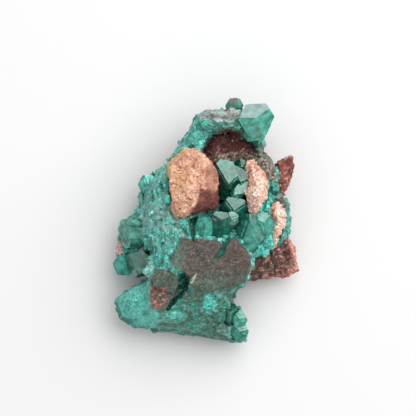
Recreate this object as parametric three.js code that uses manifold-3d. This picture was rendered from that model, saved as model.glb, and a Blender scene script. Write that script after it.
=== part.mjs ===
// Dioptase on matrix: emerald-green crystals and crystalline crust grown on a lump of rust-brown host rock,
// with a pale block of rock and two ribs of peach calcite caught in the crust.
// Millimetres, +Z up. The specimen lies on its broken back, and the origin is the middle of that flat.
import * as THREE from "three";
import { ConvexGeometry } from "three/addons/geometries/ConvexGeometry.js";
import { mergeVertices } from "three/addons/utils/BufferGeometryUtils.js";
import Module from "manifold-3d";

const wasm = await Module();
wasm.setup();

// ---- Driving dimensions ----------------------------------------------------------------------------------

const FIT_GAP = 0.32; // clearance between a seated piece and the socket that it grew in
const ROOT_SLOPE = 40; // degrees from level of the faces that close a crystal's root
const ROCK_EDGE = 6.6; // longest edge left on the host rock
const CRUST_EDGE = 6; // longest edge left on the crystalline crust
const CLAST_EDGE = 2.8; // longest edge left on the pale block
const CRUST_SPROUTS = 18; // small crystals fused to the crust
const SPROUT_RADIUS = [0.6, 1.1]; // from the tip to a side face
const SPROUTS_FROM = -15; // none stand further west
const BED_LEVEL = 0; // the flat that the specimen rests on
const FLOOR_SIZE = 120; // width of the cutter that planes the underside flat

const rad = THREE.MathUtils.degToRad;

// ---- Noise and meshes ------------------------------------------------------------------------------------

// A fixed random value from -1 to 1 for a point of the integer lattice.
function latticeValue(x, y, z, seed) {
  let h = Math.imul(x, 374761393) ^ Math.imul(y, 668265263) ^ Math.imul(z, 1440662683);
  h ^= Math.imul(seed, 974634777);
  h = Math.imul(h ^ (h >>> 13), 1274126177);
  h = Math.imul(h ^ (h >>> 15), 2246822519);
  return (((h ^ (h >>> 16)) >>> 0) / 0xffffffff) * 2 - 1;
}

// Smooth noise from -1 to 1 that changes over about one wavelength.
function smoothNoise(point, wavelength, seed) {
  const cell = [point.x, point.y, point.z].map((v) => Math.floor(v / wavelength));
  const share = [point.x, point.y, point.z].map((v, i) => v / wavelength - cell[i]);
  const ease = share.map((t) => t * t * (3 - 2 * t));
  let sum = 0;
  for (let corner = 0; corner < 8; corner++) {
    const step = [corner & 1, (corner >> 1) & 1, corner >> 2];
    const weight = step.reduce((w, s, i) => w * (s ? ease[i] : 1 - ease[i]), 1);
    sum += weight * latticeValue(cell[0] + step[0], cell[1] + step[1], cell[2] + step[2], seed);
  }
  return sum;
}

// Moves every vertex by layers of noise, given as [wavelength, reach] pairs, so that coincident vertices stay together.
function roughen(geometry, layers, seed) {
  const position = geometry.getAttribute("position");
  const point = new THREE.Vector3();
  const shift = new THREE.Vector3();
  for (let i = 0; i < position.count; i++) {
    point.fromBufferAttribute(position, i);
    shift.set(0, 0, 0);
    layers.forEach(([wavelength, reach], n) => {
      const s = seed + 10 * n;
      shift.x += reach * smoothNoise(point, wavelength, s + 1);
      shift.y += reach * smoothNoise(point, wavelength, s + 2);
      shift.z += reach * smoothNoise(point, wavelength, s + 3);
    });
    point.add(shift);
    position.setXYZ(i, point.x, point.y, point.z);
  }
  return geometry;
}

// The same shape with one vertex at each corner and no normals or texture coordinates.
function welded(geometry) {
  const bare = new THREE.BufferGeometry().setAttribute("position", geometry.getAttribute("position").clone());
  if (geometry.index) bare.setIndex(geometry.index);
  return mergeVertices(bare, 1e-4);
}

// Splits every edge longer than the limit at its middle, over and over, and keeps the mesh closed.
function refine(coarse, longest) {
  const geometry = welded(coarse);
  const points = [];
  const source = geometry.getAttribute("position");
  for (let i = 0; i < source.count; i++) points.push(new THREE.Vector3().fromBufferAttribute(source, i));
  let faces = [];
  for (let i = 0; i < geometry.index.count; i += 3) faces.push([...geometry.index.array.slice(i, i + 3)]);
  let split = true;
  while (split) {
    split = false;
    const middles = new Map();
    const middleOf = (a, b) => {
      if (points[a].distanceTo(points[b]) <= longest) return -1;
      const key = a < b ? `${a},${b}` : `${b},${a}`;
      if (!middles.has(key)) {
        middles.set(key, points.length);
        points.push(points[a].clone().add(points[b]).multiplyScalar(0.5));
      }
      return middles.get(key);
    };
    const next = [];
    for (const [a, b, c] of faces) {
      const corners = [a, b, c];
      const mids = [middleOf(a, b), middleOf(b, c), middleOf(c, a)];
      const cuts = mids.filter((m) => m >= 0).length;
      if (cuts === 0) {
        next.push([a, b, c]);
        continue;
      }
      split = true;
      if (cuts === 3) {
        next.push([a, mids[0], mids[2]], [mids[0], b, mids[1]], [mids[2], mids[1], c], mids);
        continue;
      }
      // Turned so that the first edge is cut and, where two are, the second one too.
      const turn = cuts === 1 ? mids.findIndex((m) => m >= 0) : (mids.findIndex((m) => m < 0) + 1) % 3;
      const [p, q, r] = [0, 1, 2].map((n) => corners[(turn + n) % 3]);
      const [pq, qr] = [mids[turn], mids[(turn + 1) % 3]];
      if (cuts === 1) next.push([p, pq, r], [pq, q, r]);
      else if (points[p].distanceTo(points[qr]) < points[pq].distanceTo(points[r]))
        next.push([pq, q, qr], [p, pq, qr], [p, qr, r]);
      else next.push([pq, q, qr], [p, pq, r], [pq, qr, r]);
    }
    faces = next;
  }
  const refined = new THREE.BufferGeometry().setFromPoints(points);
  refined.setIndex(faces.flat());
  return refined;
}

// A geometry as a manifold-3d solid.
function solidOf(geometry) {
  const merged = welded(geometry);
  const mesh = new wasm.Mesh({
    numProp: 3,
    vertProperties: new Float32Array(merged.getAttribute("position").array),
    triVerts: new Uint32Array(merged.index.array),
  });
  return new wasm.Manifold(mesh);
}

// A manifold-3d solid as a geometry.
function geometryOf(solid) {
  const mesh = solid.getMesh();
  const points = [];
  for (let i = 0; i < mesh.numVert; i++) {
    points.push(new THREE.Vector3().fromArray(mesh.vertProperties, i * mesh.numProp));
  }
  const geometry = new THREE.BufferGeometry().setFromPoints(points);
  return geometry.setIndex([...mesh.triVerts]);
}

const joined = (solids) => solids.reduce((all, one) => all.add(one));
const cutBy = (solid, cutters) => cutters.reduce((left, cutter) => left.subtract(cutter), solid);

// The largest body of a solid: what a cut leaves behind as loose crumbs is dropped.
function largest(solid) {
  return solid.decompose().reduce((best, one) => (one.volume() > best.volume() ? one : best));
}

// A solid with every vertex moved straight out by the gap.
function swollen(solid, gap) {
  const geometry = geometryOf(solid);
  geometry.computeVertexNormals();
  const position = geometry.getAttribute("position");
  const normal = geometry.getAttribute("normal");
  for (let i = 0; i < position.count; i++) {
    const [x, y, z] = ["getX", "getY", "getZ"].map((read) => position[read](i) + gap * normal[read](i));
    position.setXYZ(i, x, y, z);
  }
  return solidOf(geometry);
}

// ---- Shapes ----------------------------------------------------------------------------------------------

// The convex block through rings of points at given heights. A ring's point may add a height of its own.
// A grown block stands out by that much on every side.
function blockGeometry(levels, grow = 0) {
  const heights = levels.map((level) => level.z);
  const top = Math.max(...heights);
  const bottom = Math.min(...heights);
  const points = [];
  for (const { z, ring } of levels) {
    const cx = ring.reduce((sum, p) => sum + p[0], 0) / ring.length;
    const cy = ring.reduce((sum, p) => sum + p[1], 0) / ring.length;
    const lift = z === top ? grow : z === bottom ? -grow : 0;
    for (const [x, y, extra = 0] of ring) {
      const away = 1 + grow / Math.hypot(x - cx, y - cy);
      points.push(new THREE.Vector3(cx + (x - cx) * away, cy + (y - cy) * away, z + extra + lift));
    }
  }
  return new ConvexGeometry(points);
}

const blockSolid = (levels, grow) => solidOf(blockGeometry(levels, grow));

// The convex solid inside a set of planes, each a unit normal and its distance from the centre.
function facetedGeometry(planes) {
  const corners = [];
  const matrix = new THREE.Matrix3();
  for (let i = 0; i < planes.length; i++)
    for (let j = i + 1; j < planes.length; j++)
      for (let k = j + 1; k < planes.length; k++) {
        const [a, b, c] = [planes[i], planes[j], planes[k]];
        matrix.set(a.n.x, a.n.y, a.n.z, b.n.x, b.n.y, b.n.z, c.n.x, c.n.y, c.n.z);
        if (Math.abs(matrix.determinant()) < 1e-3) continue;
        const corner = new THREE.Vector3(a.d, b.d, c.d).applyMatrix3(matrix.invert());
        if (planes.every((plane) => plane.n.dot(corner) < plane.d + 1e-5)) corners.push(corner);
      }
  const apart = corners.filter((c, i) => corners.slice(0, i).every((o) => o.distanceTo(c) > 1e-3));
  return new ConvexGeometry(apart);
}

// A dioptase crystal that stands in the crust. Three sloping faces meet at its tip, each given by the compass
// direction that it faces and its slope from level. Six upright faces close it, the first one facing spin and each
// next one 60 degrees on, at the given reaches from the tip. Three more slopes close its root, depth below the tip.
function crystalSolid({ tip, caps, spin, reach, depth }, grow = 0) {
  const facing = (compass, slope) =>
    new THREE.Vector3(
      Math.cos(rad(compass)) * Math.sin(rad(slope)),
      Math.sin(rad(compass)) * Math.sin(rad(slope)),
      Math.cos(rad(slope)),
    );
  const planes = caps.map(([compass, slope]) => ({ n: facing(compass, slope), d: grow }));
  reach.forEach((distance, side) => planes.push({ n: facing(spin + 60 * side, 90), d: distance + grow }));
  const middle = reach.map((distance, side) => facing(spin + 60 * side, 90).multiplyScalar(distance / 3));
  const root = middle.reduce((sum, part) => sum.add(part)).add(new THREE.Vector3(0, 0, -depth));
  for (let face = 0; face < 3; face++) {
    const n = facing(spin + 30 + 120 * face, 180 - ROOT_SLOPE);
    planes.push({ n, d: n.dot(root) + grow });
  }
  return solidOf(facetedGeometry(planes).translate(...tip));
}

const clusterSolid = (crystals, grow) => joined(crystals.map((crystal) => crystalSolid(crystal, grow)));

// A closed rib that follows a spine of points, each with the rib's half width and half height there.
function ribGeometry(spine, grow = 0) {
  const curve = new THREE.CatmullRomCurve3(spine.map(({ at }) => new THREE.Vector3(...at)));
  const widths = new THREE.SplineCurve(spine.map(({ width, height }) => new THREE.Vector2(width, height)));
  const geometry = welded(new THREE.SphereGeometry(1, 10, 10));
  const position = geometry.getAttribute("position");
  const up = new THREE.Vector3(0, 0, 1);
  for (let i = 0; i < position.count; i++) {
    const [x, y, z] = [position.getX(i), position.getY(i), position.getZ(i)];
    const share = (1 - y) / 2;
    const centre = curve.getPoint(share);
    const along = curve.getTangent(share);
    const side = new THREE.Vector3().crossVectors(up, along).normalize();
    const size = widths.getPoint(share);
    centre.addScaledVector(side, x * (size.x + grow));
    centre.addScaledVector(up, z * (size.y + grow));
    centre.addScaledVector(along, y * -grow);
    position.setXYZ(i, centre.x, centre.y, centre.z);
  }
  return geometry;
}

// ---- Host rock -------------------------------------------------------------------------------------------

const ROCK_BLOCKS = {
  bed: [
    { z: -1.5, ring: [[-10.6, -19], [-12, -9], [-10.2, 3], [-3.6, 12], [3, 15.6], [8.4, 12.6], [11.6, 4], [10.6, -8], [3.6, -14.2], [0.8, -22], [-6, -22.5]] },
    { z: 5.5, ring: [[-11.2, -20.5], [-12.4, -9.5], [-10.8, 4], [-4, 12.6], [3, 16.6], [9.2, 14], [12.8, 4], [12, -8], [4.2, -13.4], [2, -17.4], [1.4, -22.6], [-7, -23.4]] },
    { z: 11.5, ring: [[-8, -14], [-9, -6], [-7, 3], [-2, 11], [3, 14], [8, 12], [11, 4], [9, -7], [4, -12], [-2, -17]] },
  ],
  recessFloor: [
    { z: 9, ring: [[-3, 8], [0, 14.6], [8, 14.5], [12, 10], [12, 4], [6, 5]] },
    { z: 13.6, ring: [[-1.4, 9.2], [1.2, 13.8], [6, 14.2, -0.8], [10.2, 10.6, -0.4], [10.8, 7.4, 0.6], [5.5, 7.6, 0.8]] },
  ],
  spurStem: [
    { z: 3, ring: [[8, 0], [9, 8], [14.4, 8.2], [15, 3], [13, 0]] },
    { z: 9.6, ring: [[9, 2], [10, 8], [15.6, 9], [15.6, 3.4], [13, 1]] },
  ],
  spurTip: [
    { z: 6.6, ring: [[12, 3.4], [13.4, 8.8], [16.6, 9.2], [15.4, 3.2]] },
    { z: 10.8, ring: [[13.6, 5.2], [14, 9.2], [16.8, 10.2], [17.5, 8.8], [16, 5.6], [15, 4]] },
  ],
  flake: [
    { z: 1.6, ring: [[7.2, -12.6], [10, -13], [15.4, -12.4], [16.8, -11.2], [15.6, -7.6], [11, -5], [6, -7]] },
    { z: 5.4, ring: [[7.4, -14.8], [10.2, -14.8], [15.7, -14.1], [18.5, -12.6], [17.9, -8.4], [16.4, -5.8], [10, -4], [4, -7]] },
    { z: 8.6, ring: [[8, -14, -1.6], [14.8, -13.4, -1.6], [17.2, -12.2, -1.4], [17, -8.6, -0.6], [15.2, -6.2], [9.6, -7]] },
  ],
  westKnob: [
    { z: 2.6, ring: [[-11, -12], [-17.2, -9.6], [-17.4, -7.2], [-11, -4]] },
    { z: 5.8, ring: [[-11, -11], [-18, -9.6], [-18.1, -7.4], [-11, -5]] },
  ],
};
const ROCK_NOISE = [[7, 0.75], [2.9, 0.36]];

function rockBody(grow = 0) {
  const body = joined(Object.values(ROCK_BLOCKS).map((levels) => blockSolid(levels, grow)));
  return solidOf(roughen(refine(geometryOf(body), ROCK_EDGE), ROCK_NOISE, 11));
}

// ---- Crystalline crust -----------------------------------------------------------------------------------

const CRUST_BLOCKS = {
  crownLedge: [
    { z: 8, ring: [[-3.6, 14.8], [-2.9, 16.9], [0, 18.5], [6.6, 19.2], [10.6, 18], [11, 13], [6, 11], [-2, 12.4]] },
    { z: 16.4, ring: [[-3.2, 14.8], [-2.3, 17.5], [-0.2, 18.9], [6.8, 19.6], [9, 17], [7, 13.6], [1, 14], [-2.4, 14.4]] },
    { z: 19.8, ring: [[-1.2, 17.6, -0.6], [0.2, 18.7], [6.3, 19.3, 0.2], [7.4, 17.4, 0.4], [6.2, 16.2], [1, 16, -0.6]] },
  ],
  crownSeat: [
    { z: 5, ring: [[4, 18.4], [9.4, 18.6], [10.6, 16], [10.2, 11], [6, 10]] },
    { z: 11, ring: [[4, 19], [10, 19.2], [11.2, 17], [10.8, 12.6], [10.6, 10], [5, 11]] },
    { z: 16.5, ring: [[6, 18.4], [10, 18.4], [10.8, 15.6], [10, 12.4, -1], [7, 12.6]] },
  ],
  northWest: [
    { z: 4.5, ring: [[-8, 6], [-6.6, 11], [-4, 14], [0, 16], [3, 12], [-2, 6]] },
    { z: 10, ring: [[-9, 7.8], [-7, 10], [-6.3, 11.7], [-4.4, 12.7], [-3.4, 15.4], [0, 17], [2, 13], [-2, 7]] },
    { z: 17, ring: [[-6.4, 8.4, -1], [-4.1, 11.4], [-2.2, 14.8], [0.4, 15.4], [-0.8, 11.6], [-3, 8]] },
  ],
  westSlope: [
    { z: 4, ring: [[-8, 7], [-12.6, 4.6], [-13.2, -1], [-13.4, -9], [-9, -14], [0, -14], [4, 6], [-2, 8]] },
    { z: 8.6, ring: [[-8.6, 8.4], [-11.3, 6.9], [-13.6, 5.6], [-14, 2.6], [-14.4, -2], [-13.8, -9], [-10, -14], [0, -14], [4, 6], [-4, 9]] },
    { z: 16.5, ring: [[-7.8, 8], [-10.6, 5.2], [-11.4, -1], [-11, -7], [-8, -11], [-2, -9], [-2, 5]] },
    { z: 19, ring: [[-9, 5.6, -1], [-9.2, 1, -0.6], [-8, -4], [-5, -5.4, 0.4], [-3, -3.4], [-3, 3]] },
  ],
  plate: [
    { z: 5, ring: [[-12, -9], [-13, -14], [-5, -18.6], [4.6, -17.4], [7.8, -14.8], [9, -12], [9.6, -7], [0, -4]] },
    { z: 14.6, ring: [[-11.8, -10], [-10.6, -15.4], [-3, -19.4, -1.6], [4.6, -16.6, -2.4], [7.5, -14.6, -2], [8.8, -10.6], [8.6, -7], [-4, -4.6]] },
    { z: 18.6, ring: [[-7.4, -8.6, -1], [-7.2, -12.6, -2.2], [-2, -15.4, -2.8], [3.6, -14, -2.6], [7.6, -10, -1.6], [6.8, -8], [4.8, -6, 0.4], [2, -6.6, 0.2], [-3.6, -5.6, 0.4]] },
  ],
  bank: [
    { z: 5, ring: [[-4, 1], [4, 4], [13, 4], [14.6, -2], [12, -9], [6, -9], [-2, -6]] },
    { z: 12.8, ring: [[-3.4, 0], [3, 1.4], [8, 3], [12.6, 3.4], [14.4, -1.6], [12.4, -7.6], [9, -9.4], [2, -6.5], [-3, -5]] },
    { z: 14.6, ring: [[-2.6, -1.6, 1.2], [2.6, 0.2], [8, 0.6], [12.2, 0.4, 0.4], [12.6, -3.4, 0.2], [9.6, -6.4], [3, -5.2, 0.6], [-2.4, -4.4, 1.6]] },
  ],
  eastRim: [
    { z: 3.6, ring: [[9, 3], [13.6, 3], [15, 0], [15, -5], [13, -7], [8, -8]] },
    { z: 9, ring: [[10, 5], [14.8, 3.1], [16.3, 0.9], [16.6, -1.6], [16.2, -5.4], [15, -7], [12, -8.6], [8, -9]] },
    { z: 13.2, ring: [[10, 3.6], [14.2, 2], [15.4, 0.2], [15.8, -2.6, -0.6], [15.2, -5.4, -1], [12, -7.6, 0.4]] },
  ],
  eastShoulder: [
    { z: 5, ring: [[6, 12], [10.2, 10.6], [13, 8], [13.4, 4], [9, 2]] },
    { z: 12, ring: [[6, 12], [10.5, 11], [12.7, 9.5], [13.8, 7.6], [13.8, 4], [9, 2.6]] },
    { z: 16, ring: [[8.4, 8.8, -0.4], [10.6, 9.2], [12.4, 7.6, -0.4], [12.8, 4.6, -0.6], [9.6, 4]] },
  ],
  southMass: [
    { z: 2.6, ring: [[-13.6, -15], [-14.6, -22.4], [-8, -24.4], [0, -25.4], [4.4, -24.4], [4, -17], [-3, -14]] },
    { z: 6, ring: [[-13.8, -15.6], [-15.8, -23.9], [-11.8, -24.9], [-9.4, -25.1], [-5.6, -25.2], [-3, -25.9], [2, -26.4], [5, -26.2], [4.4, -18.4], [5, -16.3], [-3, -13]] },
    { z: 13.4, ring: [[-10.8, -14, 0.6], [-11.2, -19, -1], [-9.4, -22.6, -2.4], [-3, -23.6, -3], [2.6, -23.6, -3], [4, -19, -0.6], [2, -15, 1]] },
  ],
  southWestLobe: [
    { z: 3, ring: [[-17, -18.4], [-13, -15.8], [-9, -15], [-9, -22], [-13.6, -22.6], [-16.2, -21]] },
    { z: 6.4, ring: [[-19.1, -18.4], [-17, -17.2], [-13.4, -15.6], [-9, -13.4], [-9, -24.2], [-15, -24.8], [-18, -22.8], [-19, -20]] },
    { z: 10.6, ring: [[-16.4, -18, -1], [-12.4, -15.4, 0.8], [-9.6, -13.4, 1.6], [-9.4, -20, 0.8], [-12.6, -22.2, -1], [-16, -21, -1.6]] },
  ],
  foot: [
    { z: 2.6, ring: [[1, -19], [5.4, -20.2], [6.6, -22], [7, -25], [4.6, -26], [1, -25.6]] },
    { z: 6, ring: [[1, -18.4], [4.9, -19.6], [7, -20.8], [7, -22.8], [7.8, -24.8], [7.8, -26.8], [4.6, -27], [1, -26.2]] },
    { z: 10, ring: [[1.4, -19.4, 0.8], [4.8, -20.6], [6.2, -21.8], [6.8, -24.8, -1], [4.4, -25.8, -0.8], [1.6, -24.8]] },
  ],
  westLedge: [
    { z: 3.4, ring: [[-12, 0.5], [-15.2, -2], [-16.8, -5.6], [-17.4, -12.4], [-14.4, -12.8], [-11, -12]] },
    { z: 6.4, ring: [[-12, 1], [-14.4, -0.4], [-16.2, -2.2], [-17.8, -4.4], [-17.9, -6.6], [-18.6, -10.6], [-18.6, -13.4], [-14.8, -13.6], [-11, -12.6]] },
    { z: 8.6, ring: [[-12, -0.6, 1], [-15.4, -2.8], [-16.8, -5.6, -0.6], [-17.2, -11.6, -1.4], [-14.4, -12, -0.6], [-11, -9, 1.6]] },
  ],
};
const CRUST_HOLLOWS = {
  vug: [
    { z: 10.6, ring: [[2.4, 5], [2.8, 2], [4.4, 1.4], [6, 2.6], [6, 4.6], [4, 5.8]] },
    { z: 22, ring: [[0.8, 7.4], [0.8, 1.4], [4, 0.6], [7.4, 1.8], [8, 6], [5, 9]] },
  ],
  recess: [
    { z: 12.2, ring: [[-1.6, 8.8], [-1.2, 11.6], [0.8, 14.2], [4, 15.3], [7, 14.5], [9.2, 12], [10, 9.6], [6, 7.6]] },
    { z: 24, ring: [[-2.4, 8], [-2, 12.4], [0.6, 15.4], [4.4, 16.5], [7.8, 15], [10.8, 12.4], [12, 9.4], [6, 6.6]] },
  ],
  plateCrack: [
    { z: 11.6, ring: [[-5.2, -13.2], [-4.4, -15.6], [-7.4, -19.2], [-7, -19.4], [-4, -16], [-4.2, -13.6]] },
    { z: 21, ring: [[-6.2, -12.6], [-5.4, -15.6], [-8.6, -19.8], [-7.2, -21], [-3.2, -16.2], [-3.6, -12.8]] },
  ],
};
const CRUST_NOISE = [[6, 0.5], [2.3, 0.3]];

// Small crystals that stand on random faces of the crust, most of them upright.
function crustSprouts(geometry) {
  const position = geometry.getAttribute("position");
  const faces = geometry.index.count / 3;
  const found = [];
  for (let n = 1; found.length < CRUST_SPROUTS; n++) {
    const chance = (channel) => (latticeValue(n, channel, 5, 77) + 1) / 2;
    const face = Math.floor(chance(1) * faces);
    const [a, b, c] = [0, 1, 2].map((k) =>
      new THREE.Vector3().fromBufferAttribute(position, geometry.index.getX(3 * face + k)),
    );
    const normal = new THREE.Vector3().crossVectors(b.clone().sub(a), c.clone().sub(a));
    const centre = a.add(b).add(c).divideScalar(3);
    if (normal.length() < 1 || centre.z < 4.5 || normal.normalize().z < 0.55) continue;
    if (centre.x < SPROUTS_FROM) continue;
    const radius = THREE.MathUtils.lerp(...SPROUT_RADIUS, chance(2));
    const turn = 120 * chance(3);
    found.push({
      tip: centre.addScaledVector(normal, 0.8 * radius).toArray(),
      caps: [40, 45, 50].map((slope, n) => [turn + 120 * n, slope]),
      spin: turn + 30,
      reach: [1, 0.9, 1.1, 1, 0.9, 1.1].map((share) => share * radius),
      depth: 3 * radius,
    });
  }
  return found;
}

function crustBody() {
  const blocks = joined(Object.values(CRUST_BLOCKS).map((levels) => blockSolid(levels, 0)));
  const hollows = Object.values(CRUST_HOLLOWS).map((levels) => blockSolid(levels, 0));
  const rough = roughen(refine(geometryOf(cutBy(blocks, hollows)), CRUST_EDGE), CRUST_NOISE, 31);
  return solidOf(rough).add(clusterSolid(crustSprouts(rough), 0));
}

// ---- Pale block and calcite ribs -------------------------------------------------------------------------

const PALE_BLOCK = [
  { z: 14.2, ring: [[-6.4, 7], [-2, 9.6], [1.4, 6], [1.8, 1.8], [0.6, 0.2], [-5, -0.6], [-6.4, 1]] },
  { z: 19, ring: [[-8.3, 7.8], [-7.9, 9.1], [-4.2, 11.9], [-2.2, 11.9], [0.6, 9.7], [2, 6.4], [2.2, 2], [1.3, 0.1], [-3.4, -1.2], [-6.3, -2.1], [-7.2, -1], [-7.6, 1.4]] },
  { z: 25, ring: [[-7.6, 7.6, -0.8], [-3.8, 10.9, -0.4], [-2.2, 10.6, -0.2], [-0.9, 8.4, -0.3], [-1.1, 3.8], [-2.4, 1, -0.2], [-3.8, -0.8, -0.8], [-5.9, -1.4, -1.8], [-6.8, 0.4, -1.4]] },
];
const PALE_NOISE = [[4, 0.3], [1.9, 0.2]];

function paleBlockBody(grow = 0) {
  return solidOf(roughen(refine(blockGeometry(PALE_BLOCK, grow), CLAST_EDGE), PALE_NOISE, 51));
}

const CALCITE_RIBS = {
  calcite_rib_upper: [
    { at: [8.3, 9.2, 15.4], width: 1, height: 1.4 },
    { at: [8.9, 7.6, 17.4], width: 1.2, height: 2.2 },
    { at: [9.8, 4.8, 18.4], width: 2.2, height: 3 },
    { at: [9.2, 1.4, 18], width: 1.9, height: 2.8 },
    { at: [8.9, -2, 16.6], width: 1.4, height: 1.8 },
  ],
  calcite_rib_lower: [
    { at: [13.2, 1, 12.4], width: 1.3, height: 1.3 },
    { at: [13.9, -0.9, 14], width: 1.1, height: 2 },
    { at: [14.4, -3, 14], width: 1, height: 2.2 },
    { at: [13.8, -5.4, 12.8], width: 1.1, height: 2 },
    { at: [12.8, -8.4, 10.4], width: 1.4, height: 1.6 },
  ],
};
const RIB_NOISE = [[2.4, 0.4], [1.2, 0.2]];

const ribBody = (spine, grow = 0) => solidOf(roughen(ribGeometry(spine, grow), RIB_NOISE, 71));

// ---- Crystal groups --------------------------------------------------------------------------------------

const CRYSTAL_GROUPS = {
  crown_crystals: [
    { tip: [9.2, 17.7, 21.8], caps: [[95, 22], [-63, 43], [268, 48]], spin: 94, reach: [2.5, 2.6, 2.8, 4.2, 3.2, 3.2], depth: 11 },
    { tip: [8.4, 14.9, 18.4], caps: [[95, 25], [215, 45], [-30, 45]], spin: 35, reach: [1.6, 1.2, 1, 1.3, 1.5, 1.4], depth: 7 },
    { tip: [10.2, 14.2, 17], caps: [[80, 35], [200, 50], [-35, 50]], spin: 20, reach: [0.8, 1.2, 1.4, 1.4, 1.9, 0.8], depth: 8 },
  ],
  ledge_crystal: [
    { tip: [5.8, 20.3, 18.8], caps: [[95, 10], [255, 36], [0, 50]], spin: 90, reach: [1.1, 1.8, 2, 2.6, 0.9, 0.9], depth: 6 },
  ],
  vug_crystals: [
    { tip: [4.1, 4.9, 20], caps: [[85, 20], [205, 70], [-40, 66]], spin: 80, reach: [4.2, 4.2, 2.3, 1, 1.2, 2.1], depth: 9 },
    { tip: [6.5, 5.2, 19.2], caps: [[60, 24], [205, 66], [-50, 60]], spin: 60, reach: [2, 3.6, 1.5, 0.9, 1.2, 1.3], depth: 8 },
    { tip: [6.7, 2.2, 18.4], caps: [[75, 22], [190, 60], [-60, 45]], spin: 75, reach: [3, 1.5, 1, 1.2, 1.1, 0.9], depth: 7 },
    { tip: [6.6, 8.1, 17.4], caps: [[40, 35], [170, 50], [-60, 50]], spin: 30, reach: [1.1, 1.3, 1.4, 1.2, 1.1, 1.1], depth: 6 },
    { tip: [3.5, 3, 16.4], caps: [[70, 30], [200, 45], [-50, 45]], spin: 10, reach: [1.8, 1.8, 1.2, 1.2, 1.3, 1.2], depth: 5.5 },
  ],
  bank_crystals: [
    { tip: [5.2, -0.4, 19.6], caps: [[85, 22], [205, 58], [-45, 58]], spin: 80, reach: [2.2, 2.4, 2.6, 1, 1.7, 2.4], depth: 7.5 },
    { tip: [2.6, -2.2, 20], caps: [[70, 18], [235, 40], [-60, 42]], spin: 20, reach: [2.4, 1.2, 1.6, 2.6, 3.8, 2.9], depth: 10 },
    { tip: [4.7, -2.2, 20], caps: [[60, 16], [200, 50], [-60, 50]], spin: 60, reach: [1.2, 1.2, 1.1, 0.9, 1, 1.1], depth: 6 },
    { tip: [-0.6, -3, 19.6], caps: [[100, 30], [215, 42], [-40, 45]], spin: 40, reach: [1.4, 1, 1.4, 2.2, 2.6, 1.9], depth: 8 },
  ],
  pyramid_crystals: [
    { tip: [8.3, -2.7, 19.8], caps: [[262, 34], [186, 58], [8, 54]], spin: 82, reach: [1.2, 2.2, 3.8, 5.8, 4, 2.6], depth: 10 },
    { tip: [11, -2.8, 18], caps: [[80, 24], [235, 38], [-20, 44]], spin: 80, reach: [1.8, 1.9, 2.1, 3.4, 2, 1.2], depth: 8 },
  ],
  upper_west_crystals: [
    { tip: [-15.2, -2.9, 10.4], caps: [[90, 62], [262, 22], [180, 50]], spin: 90, reach: [0.5, 2.1, 2.3, 2, 1.9, 1.7], depth: 6 },
    { tip: [-15.7, -4, 10.9], caps: [[90, 64], [266, 20], [180, 50]], spin: 90, reach: [0.5, 1.9, 2.1, 2, 2.3, 2], depth: 6.5 },
    { tip: [-15.3, -5.1, 11.1], caps: [[92, 62], [270, 22], [185, 50]], spin: 90, reach: [0.5, 2.1, 2.2, 2, 2, 1.8], depth: 7 },
    { tip: [-15.4, -6.2, 10.9], caps: [[88, 60], [272, 26], [190, 50]], spin: 90, reach: [0.5, 1.7, 1.9, 1.6, 2.2, 2], depth: 6.5 },
  ],
  west_crystals: [
    { tip: [-14.1, -13.2, 11.9], caps: [[55, 16], [200, 68], [290, 68]], spin: 45, reach: [3.9, 4, 3, 0.6, 0.6, 2.4], depth: 7.4 },
    { tip: [-12.3, -8.6, 12.2], caps: [[60, 50], [180, 55], [300, 55]], spin: 30, reach: [1.1, 1.2, 1.2, 1.9, 1.6, 1.2], depth: 6.5 },
    { tip: [-17.1, -11.3, 8.8], caps: [[60, 24], [200, 36], [300, 40]], spin: 82, reach: [1.6, 1.6, 1.8, 2.1, 2.2, 1.6], depth: 5.4 },
  ],
  shoulder_crystal: [
    { tip: [-12, 4.8, 12.4], caps: [[60, 26], [180, 44], [300, 44]], spin: 30, reach: [1.5, 1.6, 1.6, 1.7, 1.8, 1.4], depth: 6.5 },
  ],
  foot_crystals: [
    { tip: [4.4, -20.6, 12], caps: [[80, 42], [220, 50], [320, 50]], spin: 90, reach: [1.2, 1.4, 1.8, 2.8, 1.5, 1.4], depth: 7 },
    { tip: [6.2, -22.2, 11], caps: [[70, 30], [190, 42], [300, 42]], spin: 90, reach: [1.5, 1.3, 1.3, 2, 1.5, 1.2], depth: 6.5 },
    { tip: [6.3, -24.8, 10], caps: [[70, 26], [190, 40], [300, 40]], spin: 90, reach: [1.6, 1.5, 1.4, 1.8, 1.5, 1.5], depth: 6 },
  ],
};

// ---- Colours ---------------------------------------------------------------------------------------------

const FINISHES = {
  rock: { color: 0x6e4a40, roughness: 0.92 },
  crust: { color: 0x4c9a8c, roughness: 0.55 },
  crystal: { color: 0x177a5e, roughness: 0.16 },
  pale: { color: 0xdba88a, roughness: 0.9 },
  calcite: { color: 0xe9c4ae, roughness: 0.8 },
};

const finishOf = (name) => new THREE.MeshStandardMaterial({ ...FINISHES[name], metalness: 0, flatShading: true });

// ---- Assembly --------------------------------------------------------------------------------------------

const group = new THREE.Group();

function addPiece(name, solid, finish) {
  const mesh = new THREE.Mesh(geometryOf(largest(solid)), finishOf(finish));
  mesh.name = name;
  group.add(mesh);
}

const belowBed = solidOf(new THREE.BoxGeometry(FLOOR_SIZE, FLOOR_SIZE, FLOOR_SIZE).translate(0, 0, BED_LEVEL - FLOOR_SIZE / 2));
const paleSocket = paleBlockBody(FIT_GAP);
const ribSockets = Object.values(CALCITE_RIBS).map((spine) => ribBody(spine, FIT_GAP));
const crystalSockets = Object.values(CRYSTAL_GROUPS).map((crystals) => clusterSolid(crystals, FIT_GAP));

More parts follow.
